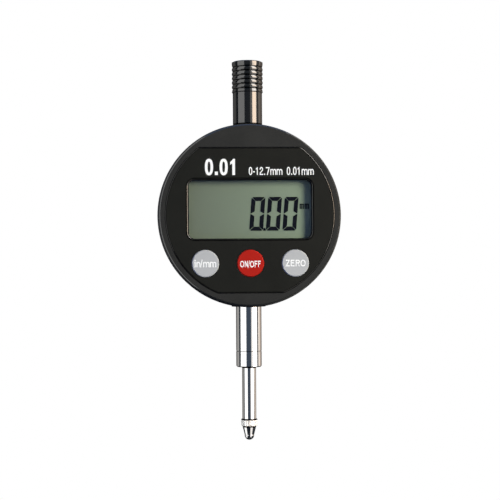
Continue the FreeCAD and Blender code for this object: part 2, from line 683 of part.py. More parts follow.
def make_main_board():
    board = along_y(board_radius, board_front_y, board_back_y)
    tools = [along_y(SCREW_BOSS_RADIUS + BOARD_RELIEF, board_front_y - 1, board_back_y + 1,
                     x, case_z + z) for x, z in front_screw_places()]
    tools += [along_y(BOARD_SCREW_RADIUS + LOOSE_GAP, board_front_y - 1, board_back_y + 1,
                      x, case_z + z) for x, z in board_post_places()]
    return cut_all(board, tools)


def make_board_screws():
    return screws(board_post_places(), board_back_y, board_front_y - SCREW_BITE,
                  BOARD_SCREW_RADIUS, 2 * BOARD_SCREW_RADIUS, BOARD_SCREW_RADIUS)


def make_sensor_board():
    z0 = lower_boss_z + STOP_THICKNESS + SENSOR_GAP
    return block(-SENSOR_WIDTH / 2, SENSOR_WIDTH / 2, board_back_y, sensor_back_y,
                 z0, z0 + SENSOR_LENGTH)


def make_controller_chip():
    x0 = SENSOR_WIDTH / 2 + 2
    return block(x0, x0 + CHIP_SIZE, board_back_y, board_back_y + CHIP_THICKNESS,
                 case_z - CHIP_SIZE / 2, case_z + CHIP_SIZE / 2)


def make_crystal():
    """Tuning-fork crystal can, lying on the board above the chip."""
    can_radius = CHIP_THICKNESS / 2
    x0 = SENSOR_WIDTH / 2 + 2
    return Part.makeCylinder(can_radius, CHIP_SIZE - 1,
                             V(x0, board_back_y + can_radius, case_z + CHIP_SIZE / 2 + 3), X_AXIS)


def make_board_capacitors():
    x0 = SENSOR_WIDTH / 2 + 2
    z0 = case_z - CHIP_SIZE / 2 - 3
    return Part.makeCompound([block(x0 + 2.2 * i, x0 + 2.2 * i + 1.2, board_back_y,
                                    board_back_y + CHIP_THICKNESS / 2, z0, z0 + 2) for i in range(4)])


# Stem and guides

def stem_top():
    return lower_boss_z - BOSS_LIP


def nipple_root():
    return upper_boss_z + BOSS_LIP


def make_stem():
    """Clamping sleeve whose shoulder seats on the housing's pad and whose root fills its bore."""
    return turned_z([(STEM_BORE_RADIUS, stem_end_z), (STEM_RADIUS, stem_end_z),
                     (STEM_RADIUS, stem_seat_z), (STEM_ROOT_RADIUS, stem_seat_z),
                     (STEM_ROOT_RADIUS, stem_top()), (STEM_BORE_RADIUS, stem_top())])


def make_stem_nose():
    """End sleeve of the stem, with a groove for the wiper."""
    wiper_z = nose_end_z + WIPER_FROM_END
    spigot = STEM_BORE_RADIUS - THREAD_GAP
    return turned_z([(STOP_BORE_RADIUS, nose_end_z), (STEM_RADIUS - NOSE_BEVEL, nose_end_z),
                     (STEM_RADIUS, nose_end_z + NOSE_BEVEL), (STEM_RADIUS, stem_end_z - JOINT_GAP),
                     (STEM_RADIUS - JOINT_DEPTH, stem_end_z - JOINT_GAP),
                     (STEM_RADIUS - JOINT_DEPTH, stem_end_z), (spigot, stem_end_z),
                     (spigot, stem_end_z + NOSE_SPIGOT), (STOP_BORE_RADIUS, stem_end_z + NOSE_SPIGOT),
                     (STOP_BORE_RADIUS, wiper_z + WIPER_THICKNESS),
                     (WIPER_RADIUS, wiper_z + WIPER_THICKNESS), (WIPER_RADIUS, wiper_z),
                     (STOP_BORE_RADIUS, wiper_z)])


def make_spindle_wiper():
    """Lip seal that keeps dirt and coolant out of the stem."""
    z0 = nose_end_z + WIPER_FROM_END
    middle = z0 + WIPER_THICKNESS / 2
    return turned_z([(running_radius, z0), (WIPER_RADIUS, z0), (WIPER_RADIUS, z0 + WIPER_THICKNESS),
                     (STOP_BORE_RADIUS, z0 + WIPER_THICKNESS), (running_radius, middle)])


def make_lower_bush():
    z0 = stem_end_z + NOSE_SPIGOT
    return tube_z(STEM_BORE_RADIUS, running_radius, z0, z0 + LOWER_BUSH_LENGTH)


def make_cap_nipple():
    """Turned guide pressed into the housing, threaded outside for the dust cap."""
    bush_z = nipple_top_z - UPPER_BUSH_LENGTH
    return turned_z([(STOP_BORE_RADIUS, nipple_root()), (NIPPLE_ROOT_RADIUS, nipple_root()),
                     (NIPPLE_ROOT_RADIUS, cap_seat_z), (NIPPLE_RADIUS, cap_seat_z),
                     (NIPPLE_RADIUS, nipple_top_z - THREAD_GAP),
                     (NIPPLE_RADIUS - THREAD_GAP, nipple_top_z), (UPPER_BUSH_RADIUS, nipple_top_z),
                     (UPPER_BUSH_RADIUS, bush_z), (STOP_BORE_RADIUS, bush_z)])


def make_upper_bush():
    return tube_z(UPPER_BUSH_RADIUS, running_radius, nipple_top_z - UPPER_BUSH_LENGTH, nipple_top_z)


def make_stop(z0):
    return tube_z(STOP_RADIUS, STOP_BORE_RADIUS, z0, z0 + STOP_THICKNESS)


def guide_ends():
    """Lowest and highest point of the guide rod, sunk in the housing's bosses."""
    half = math.sqrt(cavity_radius ** 2 - GUIDE_X ** 2) - GUIDE_BOSS_REACH + GUIDE_BITE
    return case_z - half, case_z + half


def make_guide_rod():
    return along_z(GUIDE_RADIUS, guide_ends()[0], guide_ends()[1], GUIDE_X)


# Spindle group

def make_spindle():
    """Ground rod, tapped at the lower end for the contact point and at the top for a lifter."""
    rod = along_z(SPINDLE_RADIUS, collar_top_z, spindle_top_z)
    return cut_all(rod, [along_z(TAP_RADIUS, collar_top_z, collar_top_z + TAP_DEPTH),
                         along_z(TAP_RADIUS, spindle_top_z - TAP_DEPTH, spindle_top_z)])


def ball_centre_z():
    return collar_top_z - COLLAR_HEIGHT - CONE_LENGTH - BALL_SHOWN + BALL_RADIUS


def make_contact_point():
    """Threaded shank, knurled collar and cone with a seat for the ball."""
    collar_z = collar_top_z - COLLAR_HEIGHT
    cone_end = collar_z - CONE_LENGTH
    bevel = KNURL_DEPTH
    body = turned_z([(0, cone_end), (CONE_END_RADIUS, cone_end), (CONE_TOP_RADIUS, collar_z),
                     (COLLAR_RADIUS - bevel, collar_z), (COLLAR_RADIUS, collar_z + bevel),
                     (COLLAR_RADIUS, collar_top_z - bevel), (COLLAR_RADIUS - bevel, collar_top_z),
                     (TAP_RADIUS - THREAD_GAP, collar_top_z),
                     (TAP_RADIUS - THREAD_GAP, collar_top_z + TAP_DEPTH - 1),
                     (0, collar_top_z + TAP_DEPTH - 1)])
    half_pitch = math.pi * COLLAR_RADIUS / KNURL_COUNT
    notch = Part.Face(Part.makePolygon([V(COLLAR_RADIUS - KNURL_DEPTH, 0, 0),
                                        V(COLLAR_RADIUS + KNURL_DEPTH, -half_pitch, 0),
                                        V(COLLAR_RADIUS + KNURL_DEPTH, half_pitch, 0),
                                        V(COLLAR_RADIUS - KNURL_DEPTH, 0, 0)]))
    notch = notch.extrude(V(0, 0, COLLAR_HEIGHT))
    notch.translate(V(0, 0, collar_z))
    notches = []
    for i in range(KNURL_COUNT):
        turned = notch.copy()
        turned.rotate(V(0, 0, 0), Z_AXIS, 360 * i / KNURL_COUNT)
        notches.append(turned)
    body = body.cut(Part.makeCompound(notches))
    return body.cut(make_contact_ball())


def make_contact_ball():
    return Part.makeSphere(BALL_RADIUS, V(0, 0, ball_centre_z()))


def make_carrier():
    """Block clamped on the spindle: scale backing in front, guide arm at one side."""
    half = CARRIER_WIDTH / 2
    body = block(-half, half, backing_back_y, CARRIER_BACK, carrier_z, carrier_top_z)
    backing = block(-half, half, backing_front_y, backing_back_y, carrier_z, backing_top_z)
    arm_z = carrier_z + ARM_RISE
    arm = block(0, GUIDE_X, -ARM_THICKNESS / 2, ARM_THICKNESS / 2, arm_z, arm_z + ARM_HEIGHT)
    eye = along_z(SHOE_RADIUS + SHOE_WALL, arm_z, arm_z + ARM_HEIGHT, GUIDE_X)
    carrier = fused([body, backing, arm, eye])
    return cut_all(carrier, [along_z(SPINDLE_RADIUS, carrier_z - 1, carrier_top_z + 1),
                             along_z(SHOE_RADIUS, arm_z - 1, arm_z + ARM_HEIGHT + 1, GUIDE_X),
                             along_y(CARRIER_SCREW_RADIUS, 0, CARRIER_BACK + 1, 0, carrier_screw_z())])


def carrier_screw_z():
    return carrier_top_z - ARM_RISE


def make_carrier_screw():
    """Grub end against the spindle, slotted head behind the carrier."""
    z = carrier_screw_z()
    head = 2 * CARRIER_SCREW_RADIUS
    screw = turned_y([(0, SPINDLE_RADIUS), (CARRIER_SCREW_RADIUS, SPINDLE_RADIUS),
                      (CARRIER_SCREW_RADIUS, CARRIER_BACK), (head, CARRIER_BACK),
                      (head, CARRIER_BACK + CARRIER_SCREW_RADIUS),
                      (0, CARRIER_BACK + CARRIER_SCREW_RADIUS)], 0, z)
    top = CARRIER_BACK + CARRIER_SCREW_RADIUS
    slot = block(-head, head, top - CROSS_WIDTH, top + 1, z - CROSS_WIDTH / 2, z + CROSS_WIDTH / 2)
    return screw.cut(slot)


def make_scale_strip():
    half = CARRIER_WIDTH / 2 - SCALE_MARGIN
    return block(-half, half, scale_front_y, backing_front_y,
                 carrier_z + SCALE_MARGIN, backing_top_z - SCALE_MARGIN)


def make_guide_shoe():
    arm_z = carrier_z + ARM_RISE
    return tube_z(SHOE_RADIUS, GUIDE_RADIUS + SLIDE_GAP, arm_z, arm_z + ARM_HEIGHT, GUIDE_X)


def make_coil(radius, wire, turns, height):
    """Helix of square wire about the Z axis, from z = 0, with both ends ground flat."""
    half = wire / 2
    helix = Part.makeHelix((height - wire) / turns, height - wire, radius)
    section = Part.makePolygon([V(radius - half, 0, -half), V(radius + half, 0, -half),
                                V(radius + half, 0, half), V(radius - half, 0, half),
                                V(radius - half, 0, -half)])
    coil = Part.Wire(helix.Edges).makePipeShell([section], True, True)
    coil.translate(V(0, 0, half))
    return coil


def make_return_spring():
    """Compression spring that pushes the carrier and spindle down."""
    spring = make_coil(SPRING_RADIUS, SPRING_WIRE, SPRING_TURNS, upper_stop_z - carrier_top_z)
    spring.translate(V(0, 0, carrier_top_z))
    return spring


# Dust cap

def make_dust_cap():
    """Turned cap with a grooved grip, a threaded mouth and a groove for its seal."""
    grip_z = cap_top_z - CAP_GRIP_HEIGHT
    outline = [(CAP_RADIUS, cap_seat_z), (CAP_RADIUS, grip_z),
               (CAP_GRIP_RADIUS, grip_z + CAP_GRIP_RADIUS - CAP_RADIUS)]
    first = cap_top_z - CAP_TOP_LAND - (CAP_GROOVES - 1) * CAP_GROOVE_PITCH
    shoulder = CAP_GRIP_RADIUS - CAP_RIB_CROWN
    rib = CAP_GROOVE_PITCH - CAP_GROOVE_WIDTH
    for groove in range(CAP_GROOVES):
        z = first + groove * CAP_GROOVE_PITCH
        outline += [(shoulder, z - CAP_GROOVE_WIDTH / 2),
                    (CAP_GRIP_RADIUS - CAP_GROOVE_DEPTH, z),
                    (shoulder, z + CAP_GROOVE_WIDTH / 2)]
        if groove < CAP_GROOVES - 1:
            outline += [(CAP_GRIP_RADIUS - CAP_RIB_CROWN * (2 * share - 1) ** 2,
                         z + CAP_GROOVE_WIDTH / 2 + rib * share) for share in (0.2, 0.4, 0.6, 0.8)]
    outline.append((CAP_GRIP_RADIUS, cap_top_z - CAP_TOP_LAND / 2))
    seal_radius = NIPPLE_RADIUS + THREAD_GAP + CAP_SEAL_SECTION
    thread_radius = NIPPLE_RADIUS + THREAD_GAP
    outline += [(CAP_GRIP_RADIUS, cap_top_z - CAP_TOP_BEVEL / 2),
                (CAP_GRIP_RADIUS - CAP_TOP_BEVEL, cap_top_z), (0, cap_top_z),
                (0, cap_top_z - CAP_CEILING), (CAP_BORE_RADIUS, cap_top_z - CAP_CEILING),
                (CAP_BORE_RADIUS, nipple_top_z + LOOSE_GAP), (thread_radius, nipple_top_z + LOOSE_GAP),
                (thread_radius, cap_seat_z + CAP_SEAL_SECTION),
                (seal_radius, cap_seat_z + CAP_SEAL_SECTION), (seal_radius, cap_seat_z)]
    return turned_z(outline)


def make_cap_seal():
    inner = NIPPLE_RADIUS + THREAD_GAP
    return tube_z(inner + CAP_SEAL_SECTION, inner, cap_seat_z, cap_seat_z + CAP_SEAL_SECTION)


# Battery compartment

def make_battery():
    """Button cell, its smaller negative face towards the display."""
    lid_radius = 0.86 * BATTERY_RADIUS
    step_y = battery_front_y + 0.12 * BATTERY_HEIGHT
    return turned_y([(0, battery_front_y), (lid_radius, battery_front_y), (lid_radius, step_y),
                     (BATTERY_RADIUS, step_y), (BATTERY_RADIUS, battery_back_y), (0, battery_back_y)],
                    BATTERY_X)


def make_negative_contact():
    """Disc on the pocket's floor, with a pin to the board."""
    disc = along_y(0.5 * BATTERY_RADIUS, pocket_floor_y, pocket_floor_y + CONTACT_THICKNESS, BATTERY_X)
    return disc.fuse(along_y(CONTACT_PIN_RADIUS, board_back_y, pocket_floor_y, BATTERY_X))


def make_battery_spring():
    """Short coil between the negative contact and the cell."""
    height = BATTERY_SPRING_HEIGHT - CONTACT_THICKNESS
    coil = make_coil(0.4 * BATTERY_RADIUS, SPRING_WIRE, 2, height)
    coil.rotate(V(0, 0, 0), X_AXIS, -90)
    coil.translate(V(BATTERY_X, pocket_floor_y + CONTACT_THICKNESS, case_z))
    return coil


def positive_contact_slot():
    """Room in the pocket's wall for the positive contact."""
    x0 = BATTERY_X - BATTERY_RADIUS
    half = BATTERY_RADIUS / 4
    return block(x0 - CONTACT_THICKNESS, x0, pocket_floor_y - POCKET_FLOOR, battery_back_y - 1,
                 case_z - half, case_z + half)


def make_positive_contact():
    """Strip that touches the side of the cell and runs to the board."""
    slot = positive_contact_slot().BoundBox
    return block(slot.XMin, slot.XMax, board_back_y, slot.YMax, slot.ZMin, slot.ZMax)


def make_battery_cap():
    """Screw cap with a coin slot."""
    outer_y = back_y + BATTERY_CAP_PROUD
    edge = BATTERY_CAP_PROUD / 2
    cap = turned_y([(0, battery_back_y), (BATTERY_CAP_THREAD_RADIUS, battery_back_y),
                    (BATTERY_CAP_THREAD_RADIUS, battery_cap_seat_y),
                    (BATTERY_CAP_RADIUS, battery_cap_seat_y), (BATTERY_CAP_RADIUS, outer_y - edge),
                    (BATTERY_CAP_RADIUS - edge, outer_y), (0, outer_y)], BATTERY_X)
    half = 0.7 * BATTERY_CAP_RADIUS
    return cap.cut(block(BATTERY_X - half, BATTERY_X + half, outer_y - COIN_SLOT_DEPTH, outer_y + 1,
                         case_z - COIN_SLOT_WIDTH / 2, case_z + COIN_SLOT_WIDTH / 2))


def make_battery_cap_seal():
    inner = BATTERY_CAP_THREAD_RADIUS + THREAD_GAP
    return tube_y(inner + BATTERY_SEAL_SECTION, inner, battery_cap_seat_y - BATTERY_SEAL_SECTION,
                  battery_cap_seat_y, BATTERY_X)


NODES = {
    "front_cover": make_front_cover,
    "face_plate": make_face_plate,
    "housing": make_housing,
    "front_gasket": lambda: gasket("front"),
    "back_gasket": lambda: gasket("back"),
    "back_cover": make_back_cover,
    "back_screws": make_back_screws,
    "front_screws": make_front_screws,
    "window_lens": make_window_lens,
    "lcd_front_glass": lambda: make_glass(glass_height, glass_front_y),
    "lcd_rear_glass": lambda: make_glass(rear_glass_height, glass_middle_y),
    "zebra_strips": make_zebra_strips,
    "lcd_holder": make_lcd_holder,
    "unit_button": lambda: make_button(button_xs()[0]),
    "power_button": lambda: make_button(button_xs()[1]),
    "zero_button": lambda: make_button(button_xs()[2]),
    "keypad": make_keypad,
    "unit_pill": lambda: make_pill(button_xs()[0]),
    "power_pill": lambda: make_pill(button_xs()[1]),
    "zero_pill": lambda: make_pill(button_xs()[2]),
    "main_board": make_main_board,
    "board_screws": make_board_screws,
    "sensor_board": make_sensor_board,
    "controller_chip": make_controller_chip,
    "crystal": make_crystal,
    "board_capacitors": make_board_capacitors,
    "stem": make_stem,
    "stem_nose": make_stem_nose,
    "spindle_wiper": make_spindle_wiper,
    "lower_bush": make_lower_bush,
    "cap_nipple": make_cap_nipple,
    "upper_bush": make_upper_bush,
    "lower_stop": lambda: make_stop(lower_boss_z),
    "upper_stop": lambda: make_stop(upper_stop_z),
    "guide_rod": make_guide_rod,
    "return_spring": make_return_spring,
    "spindle": make_spindle,
    "contact_point": make_contact_point,
    "contact_ball": make_contact_ball,
    "carrier": make_carrier,
    "carrier_screw": make_carrier_screw,
    "scale_strip": make_scale_strip,
    "guide_shoe": make_guide_shoe,
    "dust_cap": make_dust_cap,
    "cap_seal": make_cap_seal,
    "battery": make_battery,
    "negative_contact": make_negative_contact,
    "battery_spring": make_battery_spring,
    "positive_contact": make_positive_contact,
    "battery_cap": make_battery_cap,
    "battery_cap_seal": make_battery_cap_seal,
}

os.makedirs("parts", exist_ok=True)
for name, make in NODES.items():
    make().exportStep(os.path.join("parts", name + ".step"))
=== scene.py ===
import math

import bmesh
import bpy
from mathutils import Matrix, Vector
from mathutils.geometry import tessellate_polygon


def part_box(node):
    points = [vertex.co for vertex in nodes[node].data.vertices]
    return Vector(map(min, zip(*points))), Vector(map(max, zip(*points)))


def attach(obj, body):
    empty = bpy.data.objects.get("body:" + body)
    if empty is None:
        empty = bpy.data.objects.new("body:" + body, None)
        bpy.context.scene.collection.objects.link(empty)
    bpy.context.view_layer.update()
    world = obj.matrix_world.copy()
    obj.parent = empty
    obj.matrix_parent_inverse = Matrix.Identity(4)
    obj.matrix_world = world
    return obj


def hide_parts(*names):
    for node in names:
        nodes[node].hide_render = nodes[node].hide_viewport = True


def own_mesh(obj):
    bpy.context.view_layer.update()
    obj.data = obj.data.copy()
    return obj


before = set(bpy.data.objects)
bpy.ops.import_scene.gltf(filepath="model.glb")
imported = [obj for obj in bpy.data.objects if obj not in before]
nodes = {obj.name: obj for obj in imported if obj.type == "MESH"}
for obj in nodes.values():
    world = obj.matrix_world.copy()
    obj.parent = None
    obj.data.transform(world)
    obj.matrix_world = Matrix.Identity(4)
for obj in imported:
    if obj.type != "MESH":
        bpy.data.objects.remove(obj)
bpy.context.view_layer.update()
MM = 0.001


def box_mm(node):
    """A node's lowest and highest corners at rest, in millimetres."""
    return [[v / MM for v in corner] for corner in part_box(node)]


# Places taken from the solids, in millimetres
plate_low, plate_high = box_mm("face_plate")
cover_low, cover_high = box_mm("front_cover")
lens_low, lens_high = box_mm("window_lens")
cap_low, cap_high = box_mm("dust_cap")
plate_y = plate_low[1]
cover_y = cover_low[1]
glass_y = box_mm("lcd_front_glass")[0][1]
case_z = (cover_low[2] + cover_high[2]) / 2
window_z = (lens_low[2] + lens_high[2]) / 2
joint_z = box_mm("stem")[0][2]          # where the stem meets its nose
nose_foot = box_mm("stem_nose")[0][2]
collar_top = box_mm("spindle")[0][2]    # where the contact point is screwed in

# Sizes of the face, in millimetres
FACE_RADIUS = 27.1          # outer edge of the cover's flat ring
PLATE_CORNER = 1.6
LENS_FLANGE = 1.0           # the lens reaches this far past the window's edge
WINDOW_CORNER = 2.4

# Sizes along the spindle axis, in millimetres
GRIP_LENGTH = 9.8           # of the dust cap, down from its top
GROOVE_RADIUS = 4.76        # what lies deeper in the grip is a groove
JOINT_RADIUS = 3.92         # what lies deeper at the stem's end is its joint with the nose
EVERY_RADIUS = 10.0         # more than any radius on the axis
COLLAR_LENGTH = 2.1         # of the contact point's knurled collar
THREAD_PITCH = 0.75         # of the nipple under the dust cap
THREAD_DEPTH = 0.2

# Prints, display figures and a painted shade strip on the display, in millimetres
PRINT_SINK = 0.005          # a print starts this far inside its surface
PRINT_THICKNESS = 0.02
FIGURE_LIFT = 0.02          # the display's figures lie this far in front of its glass
FIGURE_THICKNESS = 0.06
DIGIT_HEIGHT = 10.27
DIGIT_WIDTH = 4.19
DIGIT_FOOT = 30.25
DIGIT_STARTS = (-0.2, 4.86, 9.91)
DIGIT_CORNER = 0.42
SEGMENT_WIDTH = 1.24
SEGMENT_GAP = 0.06
SLANT = math.tan(math.radians(4.6))
POINT_OUTLINE = ((4.02, 0.0), (4.84, 0.0), (4.82, 0.55), (4.5, 0.87), (4.1, 0.65))
UNIT_START = (15.22, 36.8)
UNIT_HEIGHT = 1.65
UNIT_STROKE = 0.34
UNIT_LEG_PITCH = 0.49
UNIT_LETTER_PITCH = 1.52
SHADE_STRIP_EDGES = (-19.3, -18.5)
SHADE_STRIP_HALF_HEIGHT = 9.0

# Steps round curved outlines
DISC_STEPS = 60
FULL_RING_STEPS = 180
FILLET_STEPS = 8
WINDOW_STEPS = 10


# Nodes of materials

def new_material(name):
    material = bpy.data.materials.new(name)
    material.use_nodes = True
    tree = material.node_tree
    tree.nodes.clear()
    output = tree.nodes.new("ShaderNodeOutputMaterial")
    return material, tree, output


def shader_of(material):
    """The material's tree and its main shader."""
    tree = material.node_tree
    return tree, [n for n in tree.nodes if n.type == "BSDF_PRINCIPLED"][0]


def source_of(socket):
    """What is linked to a socket now."""
    return socket.links[0].from_socket


def place(tree, axis):
    """The point's place along X, Y or Z in object space, in metres."""
    coords = tree.nodes.new("ShaderNodeTexCoord")
    split = tree.nodes.new("ShaderNodeSeparateXYZ")
    tree.links.new(coords.outputs["Object"], split.inputs["Vector"])
    return split.outputs[axis]


def axis_distance(tree):
    """How far the point is from the spindle axis, in metres."""
    coords = tree.nodes.new("ShaderNodeTexCoord")
    flat = tree.nodes.new("ShaderNodeVectorMath")
    flat.operation = "MULTIPLY"
    flat.inputs[1].default_value = (1.0, 1.0, 0.0)
    tree.links.new(coords.outputs["Object"], flat.inputs[0])
    away = tree.nodes.new("ShaderNodeVectorMath")
    away.operation = "LENGTH"
    tree.links.new(flat.outputs["Vector"], away.inputs[0])
    return away.outputs["Value"]


def calculated(tree, operation, *values):
    """The result of a math node; each value is a number or a socket."""
    node = tree.nodes.new("ShaderNodeMath")
    node.operation = operation
    for socket, value in zip(node.inputs, values):
        if isinstance(value, float):
            socket.default_value = value
        else:
            tree.links.new(value, socket)
    return node.outputs[0]


def noise(tree, stretch, scale, detail=3.0):
    """Noise in object space, in metres times stretch."""
    coords = tree.nodes.new("ShaderNodeTexCoord")
    mapping = tree.nodes.new("ShaderNodeMapping")
    mapping.inputs["Scale"].default_value = stretch
    texture = tree.nodes.new("ShaderNodeTexNoise")
    texture.inputs["Scale"].default_value = scale
    texture.inputs["Detail"].default_value = detail
    texture.inputs["Roughness"].default_value = 0.55
    tree.links.new(coords.outputs["Object"], mapping.inputs["Vector"])
    tree.links.new(mapping.outputs["Vector"], texture.inputs["Vector"])
    return texture.outputs["Fac"]


def spread(tree, value, low, high, start=0.3, end=0.7):
    """A value from start to end, brought to low to high."""
    node = tree.nodes.new("ShaderNodeMapRange")
    node.inputs["From Min"].default_value = start
    node.inputs["From Max"].default_value = end
    node.inputs["To Min"].default_value = low
    node.inputs["To Max"].default_value = high
    tree.links.new(value, node.inputs["Value"])
    return node.outputs["Result"]


def height_band(tree, z0, z1, soft):
    """1 between two heights and 0 outside them, with a soft step at each; in millimetres."""
    z = place(tree, "Z")
    above = spread(tree, z, 0.0, 1.0, (z0 - soft) * MM, (z0 + soft) * MM)
    below = spread(tree, z, 1.0, 0.0, (z1 - soft) * MM, (z1 + soft) * MM)
    return calculated(tree, "MULTIPLY", above, below)


def blended(tree, factor, first, second, kind="RGBA"):
    """Two colours, or with the kind FLOAT two numbers, mixed by the factor; each may be a socket."""
    socket_type = "RGBA" if kind == "RGBA" else "VALUE"
    node = tree.nodes.new("ShaderNodeMix")
    node.data_type = kind
    tree.links.new(factor, node.inputs["Factor"])
    for name, value in (("A", first), ("B", second)):
        socket = [s for s in node.inputs if s.name == name and s.type == socket_type][0]
        if isinstance(value, tuple):
            socket.default_value = value + (1.0,)
        elif isinstance(value, float):
            socket.default_value = value
        else:
            tree.links.new(value, socket)
    return [s for s in node.outputs if s.type == socket_type][0]


def bumped(tree, height, strength, depth, edge=0.0, under=None):
    """A normal with small relief; edge rounds the sharp edges by that radius; in metres."""
    node = tree.nodes.new("ShaderNodeBump")
    node.inputs["Strength"].default_value = strength
    node.inputs["Distance"].default_value = depth
    tree.links.new(height, node.inputs["Height"])
    if under is not None:
        tree.links.new(under, node.inputs["Normal"])
    elif edge:
        rounding = tree.nodes.new("ShaderNodeBevel")
        rounding.samples = 4
        rounding.inputs["Radius"].default_value = edge
        tree.links.new(rounding.outputs["Normal"], node.inputs["Normal"])
    return node.outputs["Normal"]


def mix_shaders(tree, factor, first, second, target):
    mix = tree.nodes.new("ShaderNodeMixShader")
    tree.links.new(factor, mix.inputs["Fac"])
    tree.links.new(first, mix.inputs[1])
    tree.links.new(second, mix.inputs[2])
    tree.links.new(mix.outputs["Shader"], target)


# Kinds of material

def surface(name, colour, rough, metal=0.0, vary=0.12, grain=2500.0, stretch=(1, 1, 1),
            rough_vary=0.08, relief=0.15, depth=0.00002, edge=0.0, specular=0.5, coat=0.0, cloud=120.0):
    """Plain finish: cloudy colour, uneven roughness and a fine grain that may run one way; in metres."""
    material, tree, output = new_material(name)
    shader = tree.nodes.new("ShaderNodeBsdfPrincipled")
    tree.links.new(shader.outputs["BSDF"], output.inputs["Surface"])
    darker = tuple(c * (1 - vary) for c in colour)
    lighter = tuple(min(1.0, c * (1 + vary)) for c in colour)
    clouds = spread(tree, noise(tree, (1, 1, 1), cloud, 4.0), 0.0, 1.0)
    tree.links.new(blended(tree, clouds, darker, lighter), shader.inputs["Base Color"])
    fine = noise(tree, stretch, grain)
    tree.links.new(spread(tree, fine, max(0.02, rough - rough_vary), min(1.0, rough + rough_vary)),
                   shader.inputs["Roughness"])
    tree.links.new(bumped(tree, fine, relief, depth, edge), shader.inputs["Normal"])
    shader.inputs["Metallic"].default_value = metal
    shader.inputs["Specular IOR Level"].default_value = specular
    if coat:
        shader.inputs["Coat Weight"].default_value = coat
        shader.inputs["Coat Roughness"].default_value = 0.1
    return material


def clear_lens(name):
    """Clear acrylic: see-through, with a reflection that grows towards grazing angles."""
    material, tree, output = new_material(name)
    clear = tree.nodes.new("ShaderNodeBsdfTransparent")
    clear.inputs["Color"].default_value = (0.985, 0.99, 0.985, 1.0)
    gloss = tree.nodes.new("ShaderNodeBsdfGlossy")
    smudges = spread(tree, noise(tree, (1, 1, 1), 90.0, 5.0), 0.03, 0.09)
    tree.links.new(smudges, gloss.inputs["Roughness"])
    weight = tree.nodes.new("ShaderNodeLayerWeight")
    weight.inputs["Blend"].default_value = 0.5
    grazing = calculated(tree, "POWER", weight.outputs["Facing"], 5.0)
    share = spread(tree, grazing, 0.035, 1.0, 0.0, 1.0)
    mix_shaders(tree, share, clear.outputs["BSDF"], gloss.outputs["BSDF"], output.inputs["Surface"])
    return material


def circuit_board(name):
    """Green solder mask over copper tracks."""
    material = surface(name, (0.012, 0.07, 0.03), 0.35, vary=0.2, grain=900.0, coat=0.3)
    tree, shader = shader_of(material)
    coords = tree.nodes.new("ShaderNodeTexCoord")
    turn = tree.nodes.new("ShaderNodeMapping")
    turn.inputs["Rotation"].default_value = (math.radians(90), 0.0, 0.0)
    tree.links.new(coords.outputs["Object"], turn.inputs["Vector"])
    brick = tree.nodes.new("ShaderNodeTexBrick")
    brick.inputs["Scale"].default_value = 420.0
    brick.inputs["Mortar Size"].default_value = 0.04
    brick.offset = 0.37
    tree.links.new(turn.outputs["Vector"], brick.inputs["Vector"])
    mask = source_of(shader.inputs["Base Color"])
    tree.links.new(blended(tree, brick.outputs["Fac"], mask, (0.05, 0.17, 0.06)),
                   shader.inputs["Base Color"])
    return material


def display_glass(name, left, right, x0, x1):
    """Grey-green reflective display with a faint cell grain, its colour going from one at x0 to another at
    x1,
    in metres: a painted gradient of light, lighter on the lit side."""
    material = surface(name, right, 0.5, vary=0.03, grain=7000.0, rough_vary=0.05, relief=0.05,
                       specular=0.3)
    tree, shader = shader_of(material)
    share = spread(tree, place(tree, "X"), 0.0, 1.0, x0, x1)
    light = source_of(shader.inputs["Base Color"])
    tree.links.new(blended(tree, share, left, light), shader.inputs["Base Color"])
    return material


def threaded(material, pitch, depth):
    """Adds a screw thread's relief to a turned piece on the spindle axis; in metres."""
    tree, shader = shader_of(material)
    angle = calculated(tree, "ARCTAN2", place(tree, "Y"), place(tree, "X"))
    along = calculated(tree, "DIVIDE", place(tree, "Z"), pitch)
    turns = calculated(tree, "MULTIPLY_ADD", angle, -1.0 / (2 * math.pi), along)
    wave = calculated(tree, "PINGPONG", turns, 0.5)
    normal = bumped(tree, wave, 1.0, depth, under=source_of(shader.inputs["Normal"]))
    tree.links.new(normal, shader.inputs["Normal"])


def toned(material, radius, z0, z1, share, matte=False):
    """Multiplies the colour by the share, and with matte the reflectivity too, between two heights and
    nearer the spindle axis than the radius; in millimetres."""
    tree, shader = shader_of(material)
    soft = 0.03
    near = spread(tree, axis_distance(tree), 1.0, 0.0, (radius - soft) * MM, (radius + soft) * MM)
    inner = calculated(tree, "MULTIPLY", near, height_band(tree, z0, z1, soft))
    shade = spread(tree, inner, 1.0, share, 0.0, 1.0)
    colour = shader.inputs["Base Color"]
    dimmed = tree.nodes.new("ShaderNodeVectorMath")
    dimmed.operation = "SCALE"
    tree.links.new(source_of(colour), dimmed.inputs[0])
    tree.links.new(shade, dimmed.inputs["Scale"])
    tree.links.new(dimmed.outputs["Vector"], colour)
    if matte:
        level = shader.inputs["Specular IOR Level"]
        tree.links.new(calculated(tree, "MULTIPLY", shade, level.default_value), level)


def roughened(material, z0, z1, rough):
    """Another roughness between two heights, in millimetres."""
    tree, shader = shader_of(material)
    socket = shader.inputs["Roughness"]
    band = height_band(tree, z0, z1, 0.02)
    tree.links.new(blended(tree, band, source_of(socket), rough, "FLOAT"), socket)


# Finishes: those of the record's slots, and four more for painted shade lines, rims and the nipple's
# thread

finishes = {}
ALONG_Z = (40.0, 40.0, 9000.0)      # turned about the spindle: fine rings


def finish(name, *looks, **details):
    finishes[name] = surface(name, *looks, **details)


